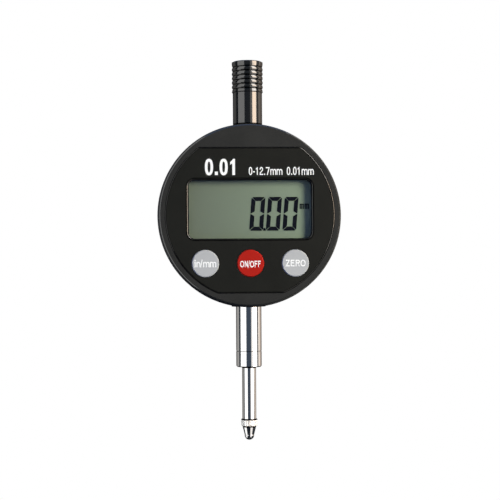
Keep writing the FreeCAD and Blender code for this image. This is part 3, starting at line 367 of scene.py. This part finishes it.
finish("case_paint", (0.022, 0.022, 0.022), 0.34, grain=6500.0, relief=0.2, depth=0.00003,
       edge=0.00014, specular=0.3)
finish("bezel", (0.0255, 0.0255, 0.0245), 0.3, grain=6500.0, relief=0.1, rough_vary=0.04,
       edge=0.00014, specular=0.28)
finish("plate", (0.0105, 0.0107, 0.0088), 0.3, grain=8000.0, relief=0.08, rough_vary=0.04,
       edge=0.00012, specular=0.3)
finish("rim_black", (0.02, 0.02, 0.019), 0.14, grain=8000.0, relief=0.04, rough_vary=0.03)
finish("rim_polished", (0.02, 0.02, 0.019), 0.14, grain=8000.0, relief=0.04, rough_vary=0.03,
       specular=0.95)
# Near-black for painted shade lines along the face's gaps and the window's edges.
finish("shade_line_black", (0.0008, 0.0008, 0.0008), 0.8, grain=8000.0, relief=0.05, specular=0.0)
finishes["lens"] = clear_lens("lens")
# Painted light: the display glass is darker at the left and lighter at the right, where the key lamp
# stands.
finishes["lcd_glass"] = display_glass("lcd_glass", (0.151, 0.179, 0.137), (0.227, 0.288, 0.214),
                                      -0.019, 0.012)
finish("lcd_rear", (0.12, 0.14, 0.11), 0.35, vary=0.04)
finish("grey_key", (0.47, 0.475, 0.487), 0.35, vary=0.015, grain=7000.0, relief=0.05, edge=0.00005,
       specular=0.12)
finish("red_key", (0.43, 0.0145, 0.0075), 0.35, vary=0.04, grain=7000.0, relief=0.05, edge=0.00005,
       specular=0.12)
finish("black_rubber", (0.018, 0.018, 0.018), 0.62, vary=0.2, relief=0.3)
finish("keypad_rubber", (0.35, 0.35, 0.34), 0.55, vary=0.06, relief=0.2)
finish("carbon", (0.01, 0.01, 0.01), 0.7, vary=0.3, relief=0.4)
finish("zebra_rubber", (0.16, 0.16, 0.17), 0.6, vary=0.5, grain=1.0, stretch=(7000.0, 300.0, 300.0),
       relief=0.3)
finish("holder_plastic", (0.02, 0.02, 0.02), 0.5, vary=0.1)
finishes["board_green"] = circuit_board("board_green")
finish("chip_black", (0.02, 0.02, 0.022), 0.55, vary=0.15, grain=5000.0, relief=0.3)
finish("ceramic", (0.4, 0.3, 0.2), 0.5, vary=0.1)
finish("stem_chrome", (0.80, 0.80, 0.81), 0.06, 1.0, vary=0.02, grain=1.0, stretch=ALONG_Z,
       rough_vary=0.02, relief=0.012, depth=0.000004, edge=0.00008)
finish("spindle_steel", (0.72, 0.72, 0.73), 0.045, 1.0, vary=0.03, grain=1.0, stretch=ALONG_Z,
       rough_vary=0.02, relief=0.012, depth=0.000003)
finish("point_steel", (0.70, 0.70, 0.70), 0.08, 1.0, vary=0.05, grain=1.0, stretch=ALONG_Z,
       rough_vary=0.04, relief=0.02, depth=0.000004)
finish("carbide", (0.58, 0.58, 0.59), 0.08, 1.0, vary=0.05, grain=3000.0, rough_vary=0.03,
       relief=0.04, depth=0.000005)
finish("steel", (0.55, 0.55, 0.56), 0.28, 1.0, vary=0.08, relief=0.2, depth=0.00001)
finish("thread_steel", (0.55, 0.55, 0.56), 0.25, 1.0, vary=0.06)
finish("bronze", (0.55, 0.33, 0.15), 0.35, 1.0, vary=0.1, grain=1.0, stretch=ALONG_Z, relief=0.2,
       depth=0.00001)
finish("cast_alloy", (0.45, 0.45, 0.46), 0.42, 1.0, vary=0.1, relief=0.4)
finish("scale_laminate", (0.02, 0.09, 0.05), 0.4, vary=0.6, grain=1.0, stretch=(60.0, 60.0, 900.0))
finish("shoe_plastic", (0.6, 0.6, 0.56), 0.45, vary=0.04)
finish("dark_chrome", (0.009, 0.009, 0.009), 0.1, 0.0, vary=0.15, grain=1.0, stretch=ALONG_Z,
       rough_vary=0.03, relief=0.015, depth=0.000004, edge=0.00006, specular=1.0)
finish("cell_steel", (0.6, 0.6, 0.6), 0.25, 1.0, vary=0.05, relief=0.1)
finish("contact_metal", (0.7, 0.6, 0.4), 0.3, 1.0, vary=0.05, relief=0.1)
finish("cap_plastic", (0.02, 0.02, 0.02), 0.4, vary=0.1, grain=6500.0, relief=0.25, depth=0.00003,
       edge=0.0001)

# Along the spindle axis: painted shade in the cap's grooves, at the cap's base, in the stem's joint with
# the nose and at the nose's foot, and a painted shadow on the spindle under the nose; near-black bands at
# the collar's ends, and a lighter, rougher knurled collar
collar_foot = collar_top - COLLAR_LENGTH
# Painted shade: the grip's grooves darkened to near black.
toned(finishes["dark_chrome"], GROOVE_RADIUS, cap_high[2] - GRIP_LENGTH, cap_high[2] + 1.0, 0.05)
# Painted shadow: a dark ring at the cap's base, its reflectivity dimmed too.
toned(finishes["dark_chrome"], EVERY_RADIUS, cap_low[2] - 0.1, cap_low[2] + 0.75, 0.05, matte=True)
# Painted shade in the stem's joint with the nose.
toned(finishes["stem_chrome"], JOINT_RADIUS, joint_z - 0.4, joint_z + 0.4, 0.012)
# Painted dark reflection along the nose's lower edge.
toned(finishes["stem_chrome"], EVERY_RADIUS, nose_foot - 0.1, nose_foot + 0.3, 0.004)
# Painted shadow on the spindle just under the nose.
toned(finishes["spindle_steel"], EVERY_RADIUS, nose_foot - 0.36, nose_foot + 0.2, 0.004)
toned(finishes["spindle_steel"], EVERY_RADIUS, collar_top, collar_top + 0.16, 0.006)
toned(finishes["point_steel"], EVERY_RADIUS, collar_top - 0.3, collar_top + 0.1, 0.006)
toned(finishes["point_steel"], EVERY_RADIUS, collar_foot + 0.04, collar_top - 0.3, 1.3)
toned(finishes["point_steel"], EVERY_RADIUS, collar_foot - 0.45, collar_foot + 0.04, 0.006)
roughened(finishes["point_steel"], collar_foot, collar_top, 0.5)
threaded(finishes["thread_steel"], THREAD_PITCH * MM, THREAD_DEPTH * MM)


def slot_of(node):
    """The record's slot of a node's first material."""
    return nodes[node].material_slots[0].name.split(".")[0]


for node in nodes.values():
    for slot in node.material_slots:
        slot.material = finishes[slot.name.split(".")[0]]
nodes["cap_nipple"].material_slots[0].material = finishes["thread_steel"]


# Pieces

def new_object(name, data):
    obj = bpy.data.objects.new(name, data)
    bpy.context.scene.collection.objects.link(obj)
    return obj


def mesh_piece(name, bm, material, body):
    """A piece from a closed mesh, with the given finish, which rides on a body."""
    bmesh.ops.recalc_face_normals(bm, faces=bm.faces)
    mesh = bpy.data.meshes.new(name)
    bm.to_mesh(mesh)
    bm.free()
    mesh.materials.append(material)
    piece = new_object(name, mesh)
    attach(piece, body)
    return piece


def corners_at(bm, outline, y):
    """Corners of an outline in the plane at y, in millimetres."""
    return [bm.verts.new((x * MM, y * MM, z * MM)) for x, z in outline]


def box_outline(x0, x1, z0, z1):
    return [(x0, z0), (x1, z0), (x1, z1), (x0, z1)]


# Characters, in thousandths of the type's height

def oval(cx, cz, rx, rz, start, end, steps, power=2.2):
    """Points on a slightly squared oval, from one angle to another in degrees."""
    points = []
    for i in range(steps + 1):
        a = math.radians(start + (end - start) * i / steps)
        c, s = math.cos(a), math.sin(a)
        points.append((cx + rx * math.copysign(abs(c) ** (2 / power), c),
                       cz + rz * math.copysign(abs(s) ** (2 / power), s)))
    return points


def pen(path, across, along):
    """Outline of a stroke along an open path, with mitred corners, for a pen of the given two widths."""
    def shifted(side):
        lines = []
        for (x0, z0), (x1, z1) in zip(path, path[1:]):
            dx, dz = x1 - x0, z1 - z0
            nx, nz = -dz * side, dx * side
            size = math.hypot(across * nx, along * nz) * 2
            ox, oz = across * across * nx / size, along * along * nz / size
            lines.append(((x0 + ox, z0 + oz), (x1 + ox, z1 + oz)))
        points = [lines[0][0]]
        for (a, b), (c, d) in zip(lines, lines[1:]):
            cross = (b[0] - a[0]) * (d[1] - c[1]) - (b[1] - a[1]) * (d[0] - c[0])
            if abs(cross) < 1e-9:
                points.append(b)
                continue
            t = ((c[0] - a[0]) * (d[1] - c[1]) - (c[1] - a[1]) * (d[0] - c[0])) / cross
            points.append((a[0] + t * (b[0] - a[0]), a[1] + t * (b[1] - a[1])))
        return points + [lines[-1][1]]
    return shifted(1) + shifted(-1)[::-1]


def arches(count, s, t):
    """The letters n and m: a stem and one or two arches, x-height 530."""
    top, spring, span = 530, 330, (366 if count == 1 else 330)
    outline = [(70, 0), (70 + s, 0), (70 + s, spring)]
    for i in range(count):
        left = 70 + s + i * span
        right = left + span - s
        outline += oval((left + right) / 2, spring, (right - left) / 2, top - t - spring, 180, 0, 8)
        outline += [(right, 0), (right + s, 0)]
        if i < count - 1:
            outline.append((right + s, spring))
    turn = []
    for i in range(count):
        left = 70 + s + (count - 1 - i) * span
        right = left + span - s
        reach = (right + s) - (left + right) / 2
        start = 125 if i == count - 1 else 118
        turn += oval((left + right) / 2, spring, reach, top - spring, 0, start, 10)
        if i < count - 1:
            turn.append((left - s * 0.3, top - t * 1.25))
    return [outline + turn + [(70 + s, top - t * 0.9), (70 + s, top - 10), (70, top - 10)]]


def glyph(letter, s, t):
    """Closed outlines of a character and its width; capitals 715 high. s is the width of upright
    strokes and t that of level ones."""
    if letter in "0O":
        middle, reach = (278, 236) if letter == "0" else (389, 345)
        return [oval(middle, 352, reach, 362, 0, 352, 44, 2.35),
                oval(middle, 352, reach - s, 362 - t, 0, 352, 44, 2.35)], 2 * middle
    if letter == "1":
        right = 290 + s / 2
        return [[(right - s, 0), (right, 0), (right, 709), (right - s * 0.75, 709), (right - s, 650),
                 (95, 570), (95, 570 - t), (right - s, 510)]], 556
    if letter == "2":
        path = ([(45 + s / 2, 470)] + oval(272, 495, 226 - s / 2, 219 - t / 2, 172, -22, 16, 2.1)
                + [(60 + s * 0.45, 128 + t / 2), (45 + s * 0.45, t / 2), (512, t / 2)])
        return [pen(path, s, t)], 556
    if letter == "7":
        return [pen([(40, 700 - t / 2), (508 - s * 0.3, 700 - t / 2), (190 + s * 0.2, 0)], s, t)], 556
    if letter == "-":
        return [box_outline(45, 288, 232, 232 + t)], 333
    if letter == ".":
        return [box_outline(139 - s * 0.56, 139 + s * 0.56, 0, t * 1.25)], 278
    if letter == "/":
        return [[(-20, -20), (s * 0.8 - 20, -20), (298, 740), (298 - s * 0.8, 740)]], 278
    if letter == "i":
        return [box_outline(67, 67 + s, 0, 523), box_outline(67, 67 + s, 718 - t * 1.1, 718)], 222
    if letter in "nm":
        return arches("nm".index(letter) + 1, s, t), (556 if letter == "n" else 833)
    if letter == "N":
        return [[(76, 0), (76 + s, 0), (76 + s, 718 - s * 2.0), (646 - s, 0), (646, 0), (646, 718),
                 (646 - s, 718), (646 - s, s * 2.0), (76 + s, 718), (76, 718)]], 722
    if letter in "FE":
        width = 580 if letter == "F" else 618
        shape = [(86, 0), (86 + s, 0), (86 + s, 325), (width - 55, 325), (width - 55, 325 + t),
                 (86 + s, 325 + t), (86 + s, 718 - t), (width, 718 - t), (width, 718), (86, 718)]
        if letter == "E":
            shape[1:3] = [(width, 0), (width, t), (86 + s, t), (86 + s, 325)]
        return [shape], (611 if letter == "F" else 667)
    if letter == "Z":
        return [pen([(40, 718 - t / 2), (565 - s * 0.55, 718 - t / 2), (30 + s * 0.55, t / 2),
                     (585, t / 2)], s, t)], 611
    bowl = oval(440, 514, 225, 204, -90, 90, 12)
    hole = oval(440, 514, 225 - s, 204 - t, -90, 90, 12)
    return [[(90, 0), (90 + s, 0), (90 + s, 310), (430, 310), (668 - s * 1.12, 0), (668, 0),
             (500, 325)] + bowl[3:] + [(90, 718)], [(90 + s, 310 + t)] + hole + [(90 + s, 718 - t)]], 722


def turned_round(loop, positive):
    """The outline's points in the wanted sense of rotation."""
    area = sum(a[0] * b[1] - b[0] * a[1] for a, b in zip(loop, loop[1:] + loop[:1]))
    return loop if (area > 0) == positive else loop[::-1]


def inside(point, loop):
    """Whether a point lies within an outline."""
    x, z = point
    crossings = 0
    for (x0, z0), (x1, z1) in zip(loop, loop[1:] + loop[:1]):
        if (z0 > z) != (z1 > z) and x < x0 + (z - z0) / (z1 - z0) * (x1 - x0):
            crossings += 1
    return crossings % 2 == 1


def add_plate(bm, loops, y, thick):
    """A closed thin plate from an outline and its holes, with its back at y; in millimetres."""
    loops = [turned_round(loop, i == 0) for i, loop in enumerate(loops)]
    flat = [p for loop in loops for p in loop]
    back = corners_at(bm, flat, y)
    front = corners_at(bm, flat, y - thick)
    for triangle in tessellate_polygon([[Vector((x * MM, z * MM, 0)) for x, z in loop] for loop in loops]):
        if len(set(triangle)) == 3:
            bm.faces.new([back[i] for i in triangle])
            bm.faces.new([front[i] for i in reversed(triangle)])
    first = 0
    for loop in loops:
        for i in range(len(loop)):
            a, b = first + i, first + (i + 1) % len(loop)
            bm.faces.new((back[a], front[a], front[b], back[b]))
        first += len(loop)


def lettering(name, text, x0, x1, z0, z1, y, stem, bar, body="case"):
    """Printed characters filling a rectangle on a face at y that looks towards -Y, in millimetres. Stem
    and bar are the widths of upright and level strokes."""
    placed, pen_x = [], 0.0
    for letter in text:
        loops, width = glyph(letter, stem, bar)
        shifted = [[(x + pen_x, z) for x, z in loop] for loop in loops]
        if len(shifted) > 1 and inside(shifted[1][0], shifted[0]):
            placed.append(shifted)
        else:
            placed += [[loop] for loop in shifted]
        pen_x += width
    xs = [x for loops in placed for x, z in loops[0]]
    zs = [z for loops in placed for x, z in loops[0]]
    scale_x = (x1 - x0) / (max(xs) - min(xs))
    scale_z = (z1 - z0) / (max(zs) - min(zs))
    bm = bmesh.new()
    for loops in placed:
        add_plate(bm, [[(x0 + (x - min(xs)) * scale_x, z0 + (z - min(zs)) * scale_z) for x, z in loop]
                       for loop in loops], y + PRINT_SINK, PRINT_THICKNESS)
    mesh_piece(name, bm, white_ink, body)


def ink(name, colour, rough=0.45, specular=0.2):
    return surface(name, colour, rough, vary=0.02, grain=9000.0, relief=0.06, depth=0.00001,
                   specular=specular, cloud=900.0)


white_ink = ink("white_ink", (0.95, 0.95, 0.95))
dark_segment = ink("dark_segment", (0.0018, 0.0022, 0.006), 0.5, 0.05)

for name, text, x0, x1, z0, z1, stem, bar in (
        ("mark_value", "0.01", -13.6, -4.5, 46.95, 51.95, 158, 124),
        ("mark_range", "0-12.7mm", -0.35, 9.85, 46.97, 49.45, 122, 104),
        ("mark_step", "0.01mm", 11.15, 19.35, 46.97, 49.45, 122, 104)):
    lettering(name, text, x0, x1, z0, z1, plate_y, stem, bar)

for name, text, node, half_width, z0, z1, stem, bar in (
        ("label_in_mm", "in/mm", "unit_button", 3.28, -1.2, 1.2, 140, 122),
        ("label_on_off", "ON/OFF", "power_button", 3.1, -1.25, 0.82, 134, 126),
        ("label_zero", "ZERO", "zero_button", 3.05, -1.05, 1.0, 130, 124)):
    low, high = box_mm(node)
    x = (low[0] + high[0]) / 2
    z = (low[2] + high[2]) / 2
    lettering(name, text, x - half_width, x + half_width, z + z0, z + z1, low[1], stem, bar,
              node.replace("button", "key"))


# Fine edges of the face, and near-black painted shade lines along its gaps and window

def arc_points(arcs):
    """Points along arcs given as centre, radius, first and last angle and number of steps."""
    points = []
    for cx, cz, radius, start, end, steps in arcs:
        for i in range(steps + 1):
            a = start + (end - start) * i / steps
            point = (cx + radius * math.cos(a), cz + radius * math.sin(a))
            if not points or math.dist(point, points[-1]) > 1e-6:
                points.append(point)
    if math.dist(points[0], points[-1]) < 1e-6:
        points.pop()
    return points


def disc_outline(radius, top, bottom, corner):
    """A disc cut flat above and below its middle, its corners rounded; points from the right."""
    fillets = []
    for height in (top, bottom):
        rise = height - corner
        reach = math.sqrt((radius - corner) ** 2 - rise ** 2)
        fillets.append((reach, rise, math.atan2(rise, reach)))
    (xt, zt, at), (xb, zb, ab) = fillets
    return arc_points([(0, 0, radius, -ab, at, DISC_STEPS),
                       (xt, zt, corner, at, math.pi / 2, FILLET_STEPS),
                       (-xt, zt, corner, math.pi / 2, math.pi - at, FILLET_STEPS),
                       (0, 0, radius, math.pi - at, math.pi + ab, DISC_STEPS),
                       (-xb, -zb, corner, math.pi + ab, math.pi * 1.5, FILLET_STEPS),
                       (xb, -zb, corner, math.pi * 1.5, math.pi * 2 - ab, FILLET_STEPS)])


def rounded_outline(half_width, half_height, corner):
    """A rectangle with round corners; points from the right."""
    quarters = ((1, 1), (-1, 1), (-1, -1), (1, -1))
    return arc_points([(sx * (half_width - corner), sz * (half_height - corner), corner,
                        i * math.pi / 2, (i + 1) * math.pi / 2, WINDOW_STEPS)
                       for i, (sx, sz) in enumerate(quarters)])


def trim(name, outline, centre_z, y, finish_name, profile):
    """A thin closed trim swept round an outline, in millimetres; profile holds the outward offset and
    the height in front of y."""
    bm = bmesh.new()
    rows = []
    count = len(outline)
    for i, (x, z) in enumerate(outline):
        (x0, z0), (x1, z1) = outline[i - 1], outline[(i + 1) % count]
        length = math.hypot(x1 - x0, z1 - z0)
        nx, nz = (z1 - z0) / length, -(x1 - x0) / length
        rows.append([bm.verts.new(((x + nx * out) * MM, (y - high) * MM, (centre_z + z + nz * out) * MM))
                     for out, high in profile])
    for i in range(count):
        first, second = rows[i], rows[(i + 1) % count]
        for j in range(len(profile)):
            k = (j + 1) % len(profile)
            bm.faces.new((first[j], first[k], second[k], second[j]))
    mesh_piece(name, bm, finishes[finish_name], "case")


plate_outline = disc_outline(plate_high[0], plate_high[2] - case_z, case_z - plate_low[2], PLATE_CORNER)
trim("plate_edge", plate_outline, case_z, plate_y, "rim_black",
     [(0.02, 0.165), (0.12, 0.115), (0.12, 0.05), (0.02, 0.05)])
# Painted shadow in the gap round the plate.
trim("plate_seam_shade", plate_outline, case_z, plate_y, "shade_line_black",
     [(-0.08, 0.104), (0.03, 0.104), (0.03, -0.2), (-0.08, -0.2)])
# Painted shade just outside the plate's edge, on the cover's inner edge.
trim("plate_gap_shade", plate_outline, case_z, plate_y, "shade_line_black",
     [(0.11, 0.104), (0.33, 0.104), (0.33, -0.2), (0.11, -0.2)])

window_outline = rounded_outline(lens_high[0] - LENS_FLANGE, lens_high[2] - window_z - LENS_FLANGE,
                                 WINDOW_CORNER)
# Painted shade along the window's edge.
trim("window_rim_shade", window_outline, window_z, plate_y, "shade_line_black",
     [(0.26, 0.004), (0.02, 0.004), (0.02, -0.19), (0.2, -0.01), (0.26, -0.01)])
# Painted shade along the lens's edge, inside the window.
trim("lens_rim_shade", window_outline, window_z, plate_y, "shade_line_black",
     [(-0.25, -0.07), (-0.37, -0.046), (-0.37, -0.054), (-0.25, -0.14)])
trim("window_edge", window_outline, window_z, plate_y, "rim_black",
     [(-0.1, 0.0), (-0.24, -0.07), (-0.24, -0.12), (-0.1, -0.26)])

face_outline = arc_points([(0, 0, FACE_RADIUS, 0, 2 * math.pi, FULL_RING_STEPS)])
trim("bezel_edge", face_outline, case_z, cover_y, "rim_polished",
     [(0.0, 0.003), (0.02, 0.004), (0.258, -0.182), (0.258, -0.265), (0.1, -0.12), (0.0, -0.02)])


# Display figures, and a painted shade strip along the window's left edge

def display_mark(name, outlines):
    """Dark figures, or a dark strip of painted shade, in front of the display glass, from convex outlines
    in millimetres.
    """
    bm = bmesh.new()
    for outline in outlines:
        back = corners_at(bm, outline, glass_y - FIGURE_LIFT)
        front = corners_at(bm, outline, glass_y - FIGURE_LIFT - FIGURE_THICKNESS)
        bm.faces.new(back)
        bm.faces.new(front[::-1])
        for i in range(len(outline)):
            j = (i + 1) % len(outline)
            bm.faces.new((back[i], front[i], front[j], back[j]))
    mesh_piece(name, bm, dark_segment, "case")


def digit_outlines(x0):
    """The six lit segments of a zero, with mitred ends, leaning to the right."""
    w, h, s, g, c = DIGIT_WIDTH, DIGIT_HEIGHT, SEGMENT_WIDTH, SEGMENT_GAP, DIGIT_CORNER
    mid = h / 2
    top = [(c + g, h), (w - c - g, h), (w - c / 2 - g, h - c / 2), (w - s - g, h - s + g * 0.2),
           (s + g, h - s + g * 0.2), (c / 2 + g, h - c / 2)]
    left_top = [(0, mid + 2.4 * g), (s * 0.22, mid + 2.4 * g), (s, mid + s * 0.62), (s, h - s - g),
                (c / 2 - g, h - c / 2 - 2 * g), (0, h - c - g)]
    right_top = [(w - x, z) for x, z in left_top[::-1]]
    upper = [top, left_top, right_top]
    lower = [[(x, h - z) for x, z in shape[::-1]] for shape in upper]
    return [[(x0 + x + z * SLANT, DIGIT_FOOT + z) for x, z in shape] for shape in upper + lower]


def unit_outlines(x0, z0):
    """The two letters of the unit mark, each from three legs and the two bars that join them."""
    s, top = UNIT_STROKE, z0 + UNIT_HEIGHT
    outlines = []
    for letter in range(2):
        legs = [x0 + letter * UNIT_LETTER_PITCH + leg * UNIT_LEG_PITCH for leg in range(3)]
        outlines += [box_outline(left, left + s, z0, z0 + UNIT_HEIGHT * 0.97) for left in legs]
        outlines += [box_outline(left + s, right, top - s, top) for left, right in zip(legs, legs[1:])]
    return outlines


for i, start in enumerate(DIGIT_STARTS):
    display_mark(f"lcd_digit_{i + 1}", digit_outlines(start))
display_mark("lcd_point", [[(x, DIGIT_FOOT + z) for x, z in POINT_OUTLINE]])
# Painted shade: a dark strip on the display glass along the window's left edge.
display_mark("lcd_left_shade", [box_outline(*SHADE_STRIP_EDGES, window_z - SHADE_STRIP_HALF_HEIGHT,
                                        window_z + SHADE_STRIP_HALF_HEIGHT)])
display_mark("lcd_unit", unit_outlines(*UNIT_START))


# Return spring

def make_spring(wire, turns):
    """Round-wire coil on the spindle axis; wire is the wire's radius, and the spring's box gives the
    coil's; in metres."""
    around, sides = 24, 10
    low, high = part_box("return_spring")
    radius = high[0] - wire
    bottom, top = low[2] + wire, high[2] - wire
    slope = math.atan2((top - bottom) / (2 * math.pi * turns), radius)
    bm = bmesh.new()
    rows = []
    steps = turns * around
    for i in range(steps + 1):
        a = 2 * math.pi * i / around
        out = Vector((math.cos(a), math.sin(a), 0.0))
        up = Vector((math.sin(a) * math.sin(slope), -math.cos(a) * math.sin(slope), math.cos(slope)))
        centre = out * radius + Vector((0.0, 0.0, bottom + (top - bottom) * i / steps))
        ring = [2 * math.pi * j / sides for j in range(sides)]
        rows.append([bm.verts.new(centre + out * wire * math.cos(b) + up * wire * math.sin(b))
                     for b in ring])
    for first, second in zip(rows, rows[1:]):
        for j in range(sides):
            k = (j + 1) % sides
            bm.faces.new((first[j], first[k], second[k], second[j]))
    bm.faces.new(rows[0])
    bm.faces.new(rows[-1][::-1])
    for face in bm.faces:
        face.smooth = len(face.verts) == 4
    slot_name = slot_of("return_spring")
    piece = mesh_piece("spring_coil", bm, finishes[slot_name], "case")
    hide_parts("return_spring")
    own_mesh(piece)


make_spring(wire=0.0002, turns=10)


# Camera, in metres; the photograph's frame and its focal length are in pixels

IMAGE_WIDTH = 500.0
FOCAL_LENGTH = 1269.0
SENSOR_WIDTH = 36.0
CAMERA_SIDE = -0.0175
CAMERA_DISTANCE = 0.397
CAMERA_HEIGHT = 0.01955
AXIS_OFFSET = 1.7                       # pixels from the picture's middle to the spindle axis
TURN = math.atan2(-CAMERA_SIDE, CAMERA_DISTANCE) + AXIS_OFFSET / FOCAL_LENGTH
TILT = math.radians(90.72)              # from straight down
ROLL = math.radians(-0.35)

camera_data = bpy.data.cameras.new("camera")
camera_data.sensor_width = SENSOR_WIDTH
camera_data.lens = FOCAL_LENGTH * SENSOR_WIDTH / IMAGE_WIDTH
camera_data.clip_start = 0.01
camera = new_object("camera", camera_data)
camera.location = (CAMERA_SIDE, -CAMERA_DISTANCE, CAMERA_HEIGHT)
camera.rotation_euler = (Matrix.Rotation(-TURN, 3, "Z") @ Matrix.Rotation(TILT, 3, "X")
                         @ Matrix.Rotation(ROLL, 3, "Z")).to_euler()
bpy.context.scene.camera = camera


# Studio: pale floor, white world, soft boxes and dark cards

def direction(azimuth, elevation):
    """Unit vector away from the object; degrees, 0 is the camera's side, positive to the right."""
    a, e = math.radians(azimuth), math.radians(elevation)
    return Vector((math.cos(e) * math.sin(a), -math.cos(e) * math.cos(a), math.sin(e)))


def emission(name, colour, strength):
    material, tree, output = new_material(name)
    shader = tree.nodes.new("ShaderNodeEmission")
    shader.inputs["Color"].default_value = colour + (1.0,)
    shader.inputs["Strength"].default_value = strength
    tree.links.new(shader.outputs["Emission"], output.inputs["Surface"])
    return material


CARD_RADIUS = 0.6
CARD_CENTRE = Vector((0.0, 0.0, 0.02))
CARD_STEP = 5               # degrees

# Elevations of the rows of cards
BELOW = (-89, -52)
LOW = (-52, -18)
LEVEL = (-18, 62)
ABOVE = (62, 89)


def card(name, azimuths, elevations, colour, strength):
    """Patch of a sphere round the object, seen only in reflections; in degrees as in direction."""
    (a0, a1), (e0, e1) = azimuths, elevations
    across = (a1 - a0) // CARD_STEP + 1
    up = (e1 - e0) // CARD_STEP + 1
    verts = []
    for i in range(across + 1):
        for j in range(up + 1):
            away = direction(a0 + (a1 - a0) * i / across, e0 + (e1 - e0) * j / up)
            verts.append(CARD_CENTRE + away * CARD_RADIUS)
    faces = []
    for i in range(across):
        for j in range(up):
            k = i * (up + 1) + j
            faces.append((k, k + 1, k + up + 2, k + up + 1))
    mesh = bpy.data.meshes.new(name)
    mesh.from_pydata(verts, [], faces)
    mesh.materials.append(emission(name, colour, strength))
    obj = new_object(name, mesh)
    obj.visible_camera = False
    obj.visible_diffuse = False
    obj.visible_shadow = False


for name, azimuths, elevations, colour, strength in (
        ("card_front", (-26, 19), LEVEL, (0.55, 0.73, 1.0), 0.105),
        ("card_front_low", (-56, 20), LOW, (0.6, 0.75, 1.0), 0.03),
        ("box_left", (-80, -26), LEVEL, (1.0, 1.0, 0.98), 1.7),
        ("box_left_low", (-106, -56), LOW, (1.0, 1.0, 0.98), 1.5),
        ("flag_left", (-101, -80), LEVEL, (0.65, 0.8, 1.0), 0.05),
        ("grey_left", (-133, -101), LEVEL, (1.0, 0.98, 0.93), 0.4),
        ("flag_back_left", (-170, -133), LEVEL, (1.0, 0.95, 0.9), 0.12),
        ("box_right_near", (19, 36), LEVEL, (1.0, 0.97, 0.93), 0.95),
        ("box_right", (36, 69), (-4, 22), (1.0, 0.8, 0.62), 11.5),
        ("box_right_high", (36, 69), (22, 62), (1.0, 0.94, 0.87), 11.0),
        ("box_right_level", (36, 69), (-18, -4), (1.0, 0.94, 0.88), 5.0),
        ("box_right_low", (20, 66), LOW, (1.0, 0.95, 0.9), 1.3),
        ("box_right_far", (69, 80), LEVEL, (1.0, 0.97, 0.93), 0.95),
        ("flag_right", (80, 94), LEVEL, (1.0, 0.85, 0.75), 0.05),
        ("warm_right_near", (94, 103), LEVEL, (1.0, 0.9, 0.79), 1.5),
        ("warm_right", (103, 112), LEVEL, (1.0, 0.86, 0.72), 0.95),
        ("grey_right", (112, 130), LEVEL, (1.0, 0.83, 0.7), 0.62),
        ("grey_right_far", (130, 150), LEVEL, (1.0, 0.8, 0.67), 0.28),
        ("flag_back_right", (150, 170), LEVEL, (1.0, 0.95, 0.9), 0.14),
        ("flag_left_low", (-170, -106), LOW, (0.8, 0.9, 1.0), 0.05),
        ("flag_right_low", (66, 170), LOW, (0.8, 0.9, 1.0), 0.05),
        ("card_behind_low", (170, 190), LOW, (0.8, 0.9, 1.0), 0.05),
        ("card_behind", (170, 190), (3, 62), (0.35, 0.55, 1.0), 0.22),
        ("card_above", (-180, 180), ABOVE, (0.25, 0.47, 1.0), 0.9),
        ("card_below", (-180, 180), BELOW, (0.8, 0.9, 1.0), 0.05)):
    card(name, azimuths, elevations, colour, strength)


def soft_box(name, width, height, energy, colour, away, distance, target):
    """Rectangular lamp aimed at the target; reflections show the cards in its place."""
    data = bpy.data.lights.new(name, "AREA")
    data.shape = "RECTANGLE"
    data.size = width
    data.size_y = height
    data.energy = energy
    data.color = colour
    obj = new_object(name, data)
    obj.location = Vector(target) + away * distance
    obj.rotation_euler = away.to_track_quat("Z", "Y").to_euler()
    obj.visible_glossy = False
    obj.visible_camera = False


soft_box("key", width=0.26, height=0.34, energy=7.6, colour=(1.0, 0.955, 0.757),
         away=direction(45, 16), distance=0.75, target=(0.0, -0.01, 0.035))


def seen_share(tree, share=1.0):
    """The given share for camera, glossy and transmission rays, 0 for the others."""
    path = tree.nodes.new("ShaderNodeLightPath")
    value = path.outputs["Is Camera Ray"]
    for kind in ("Is Glossy Ray", "Is Transmission Ray"):
        value = calculated(tree, "MAXIMUM", value, path.outputs[kind])
    return spread(tree, value, 0.0, share, 0.0, 1.0)


def background(tree, colour, strength):
    node = tree.nodes.new("ShaderNodeBackground")
    node.inputs["Color"].default_value = colour + (1.0,)
    node.inputs["Strength"].default_value = strength
    return node.outputs["Background"]


def make_world():
    """A faint cool light all round, shown as white."""
    world = bpy.data.worlds.new("studio")
    bpy.context.scene.world = world
    world.use_nodes = True
    tree = world.node_tree
    tree.nodes.clear()
    output = tree.nodes.new("ShaderNodeOutputWorld")
    light = background(tree, (0.315, 0.452, 1.0), 0.336)
    white = background(tree, (1.0, 1.0, 1.0), 1.0)
    mix_shaders(tree, seen_share(tree), light, white, output.inputs["Surface"])


def make_floor():
    """Round pale floor below the hanging indicator, out of the photograph's view."""
    bm = bmesh.new()
    bmesh.ops.create_circle(bm, cap_ends=True, segments=64, radius=1.2,
                            matrix=Matrix.Translation((0.0, 0.2, -0.62)))
    mesh = bpy.data.meshes.new("floor")
    bm.to_mesh(mesh)
    bm.free()
    material = surface("floor", (0.8, 0.8, 0.8), 0.8, vary=0.01, grain=40.0)
    tree = material.node_tree
    output = [n for n in tree.nodes if n.type == "OUTPUT_MATERIAL"][0]
    shaded = source_of(output.inputs["Surface"])
    pale = tree.nodes.new("ShaderNodeEmission").outputs["Emission"]
    mix_shaders(tree, seen_share(tree, 0.75), shaded, pale, output.inputs["Surface"])
    mesh.materials.append(material)
    new_object("floor", mesh)


make_world()
make_floor()
bpy.context.scene.view_settings.view_transform = "Standard"
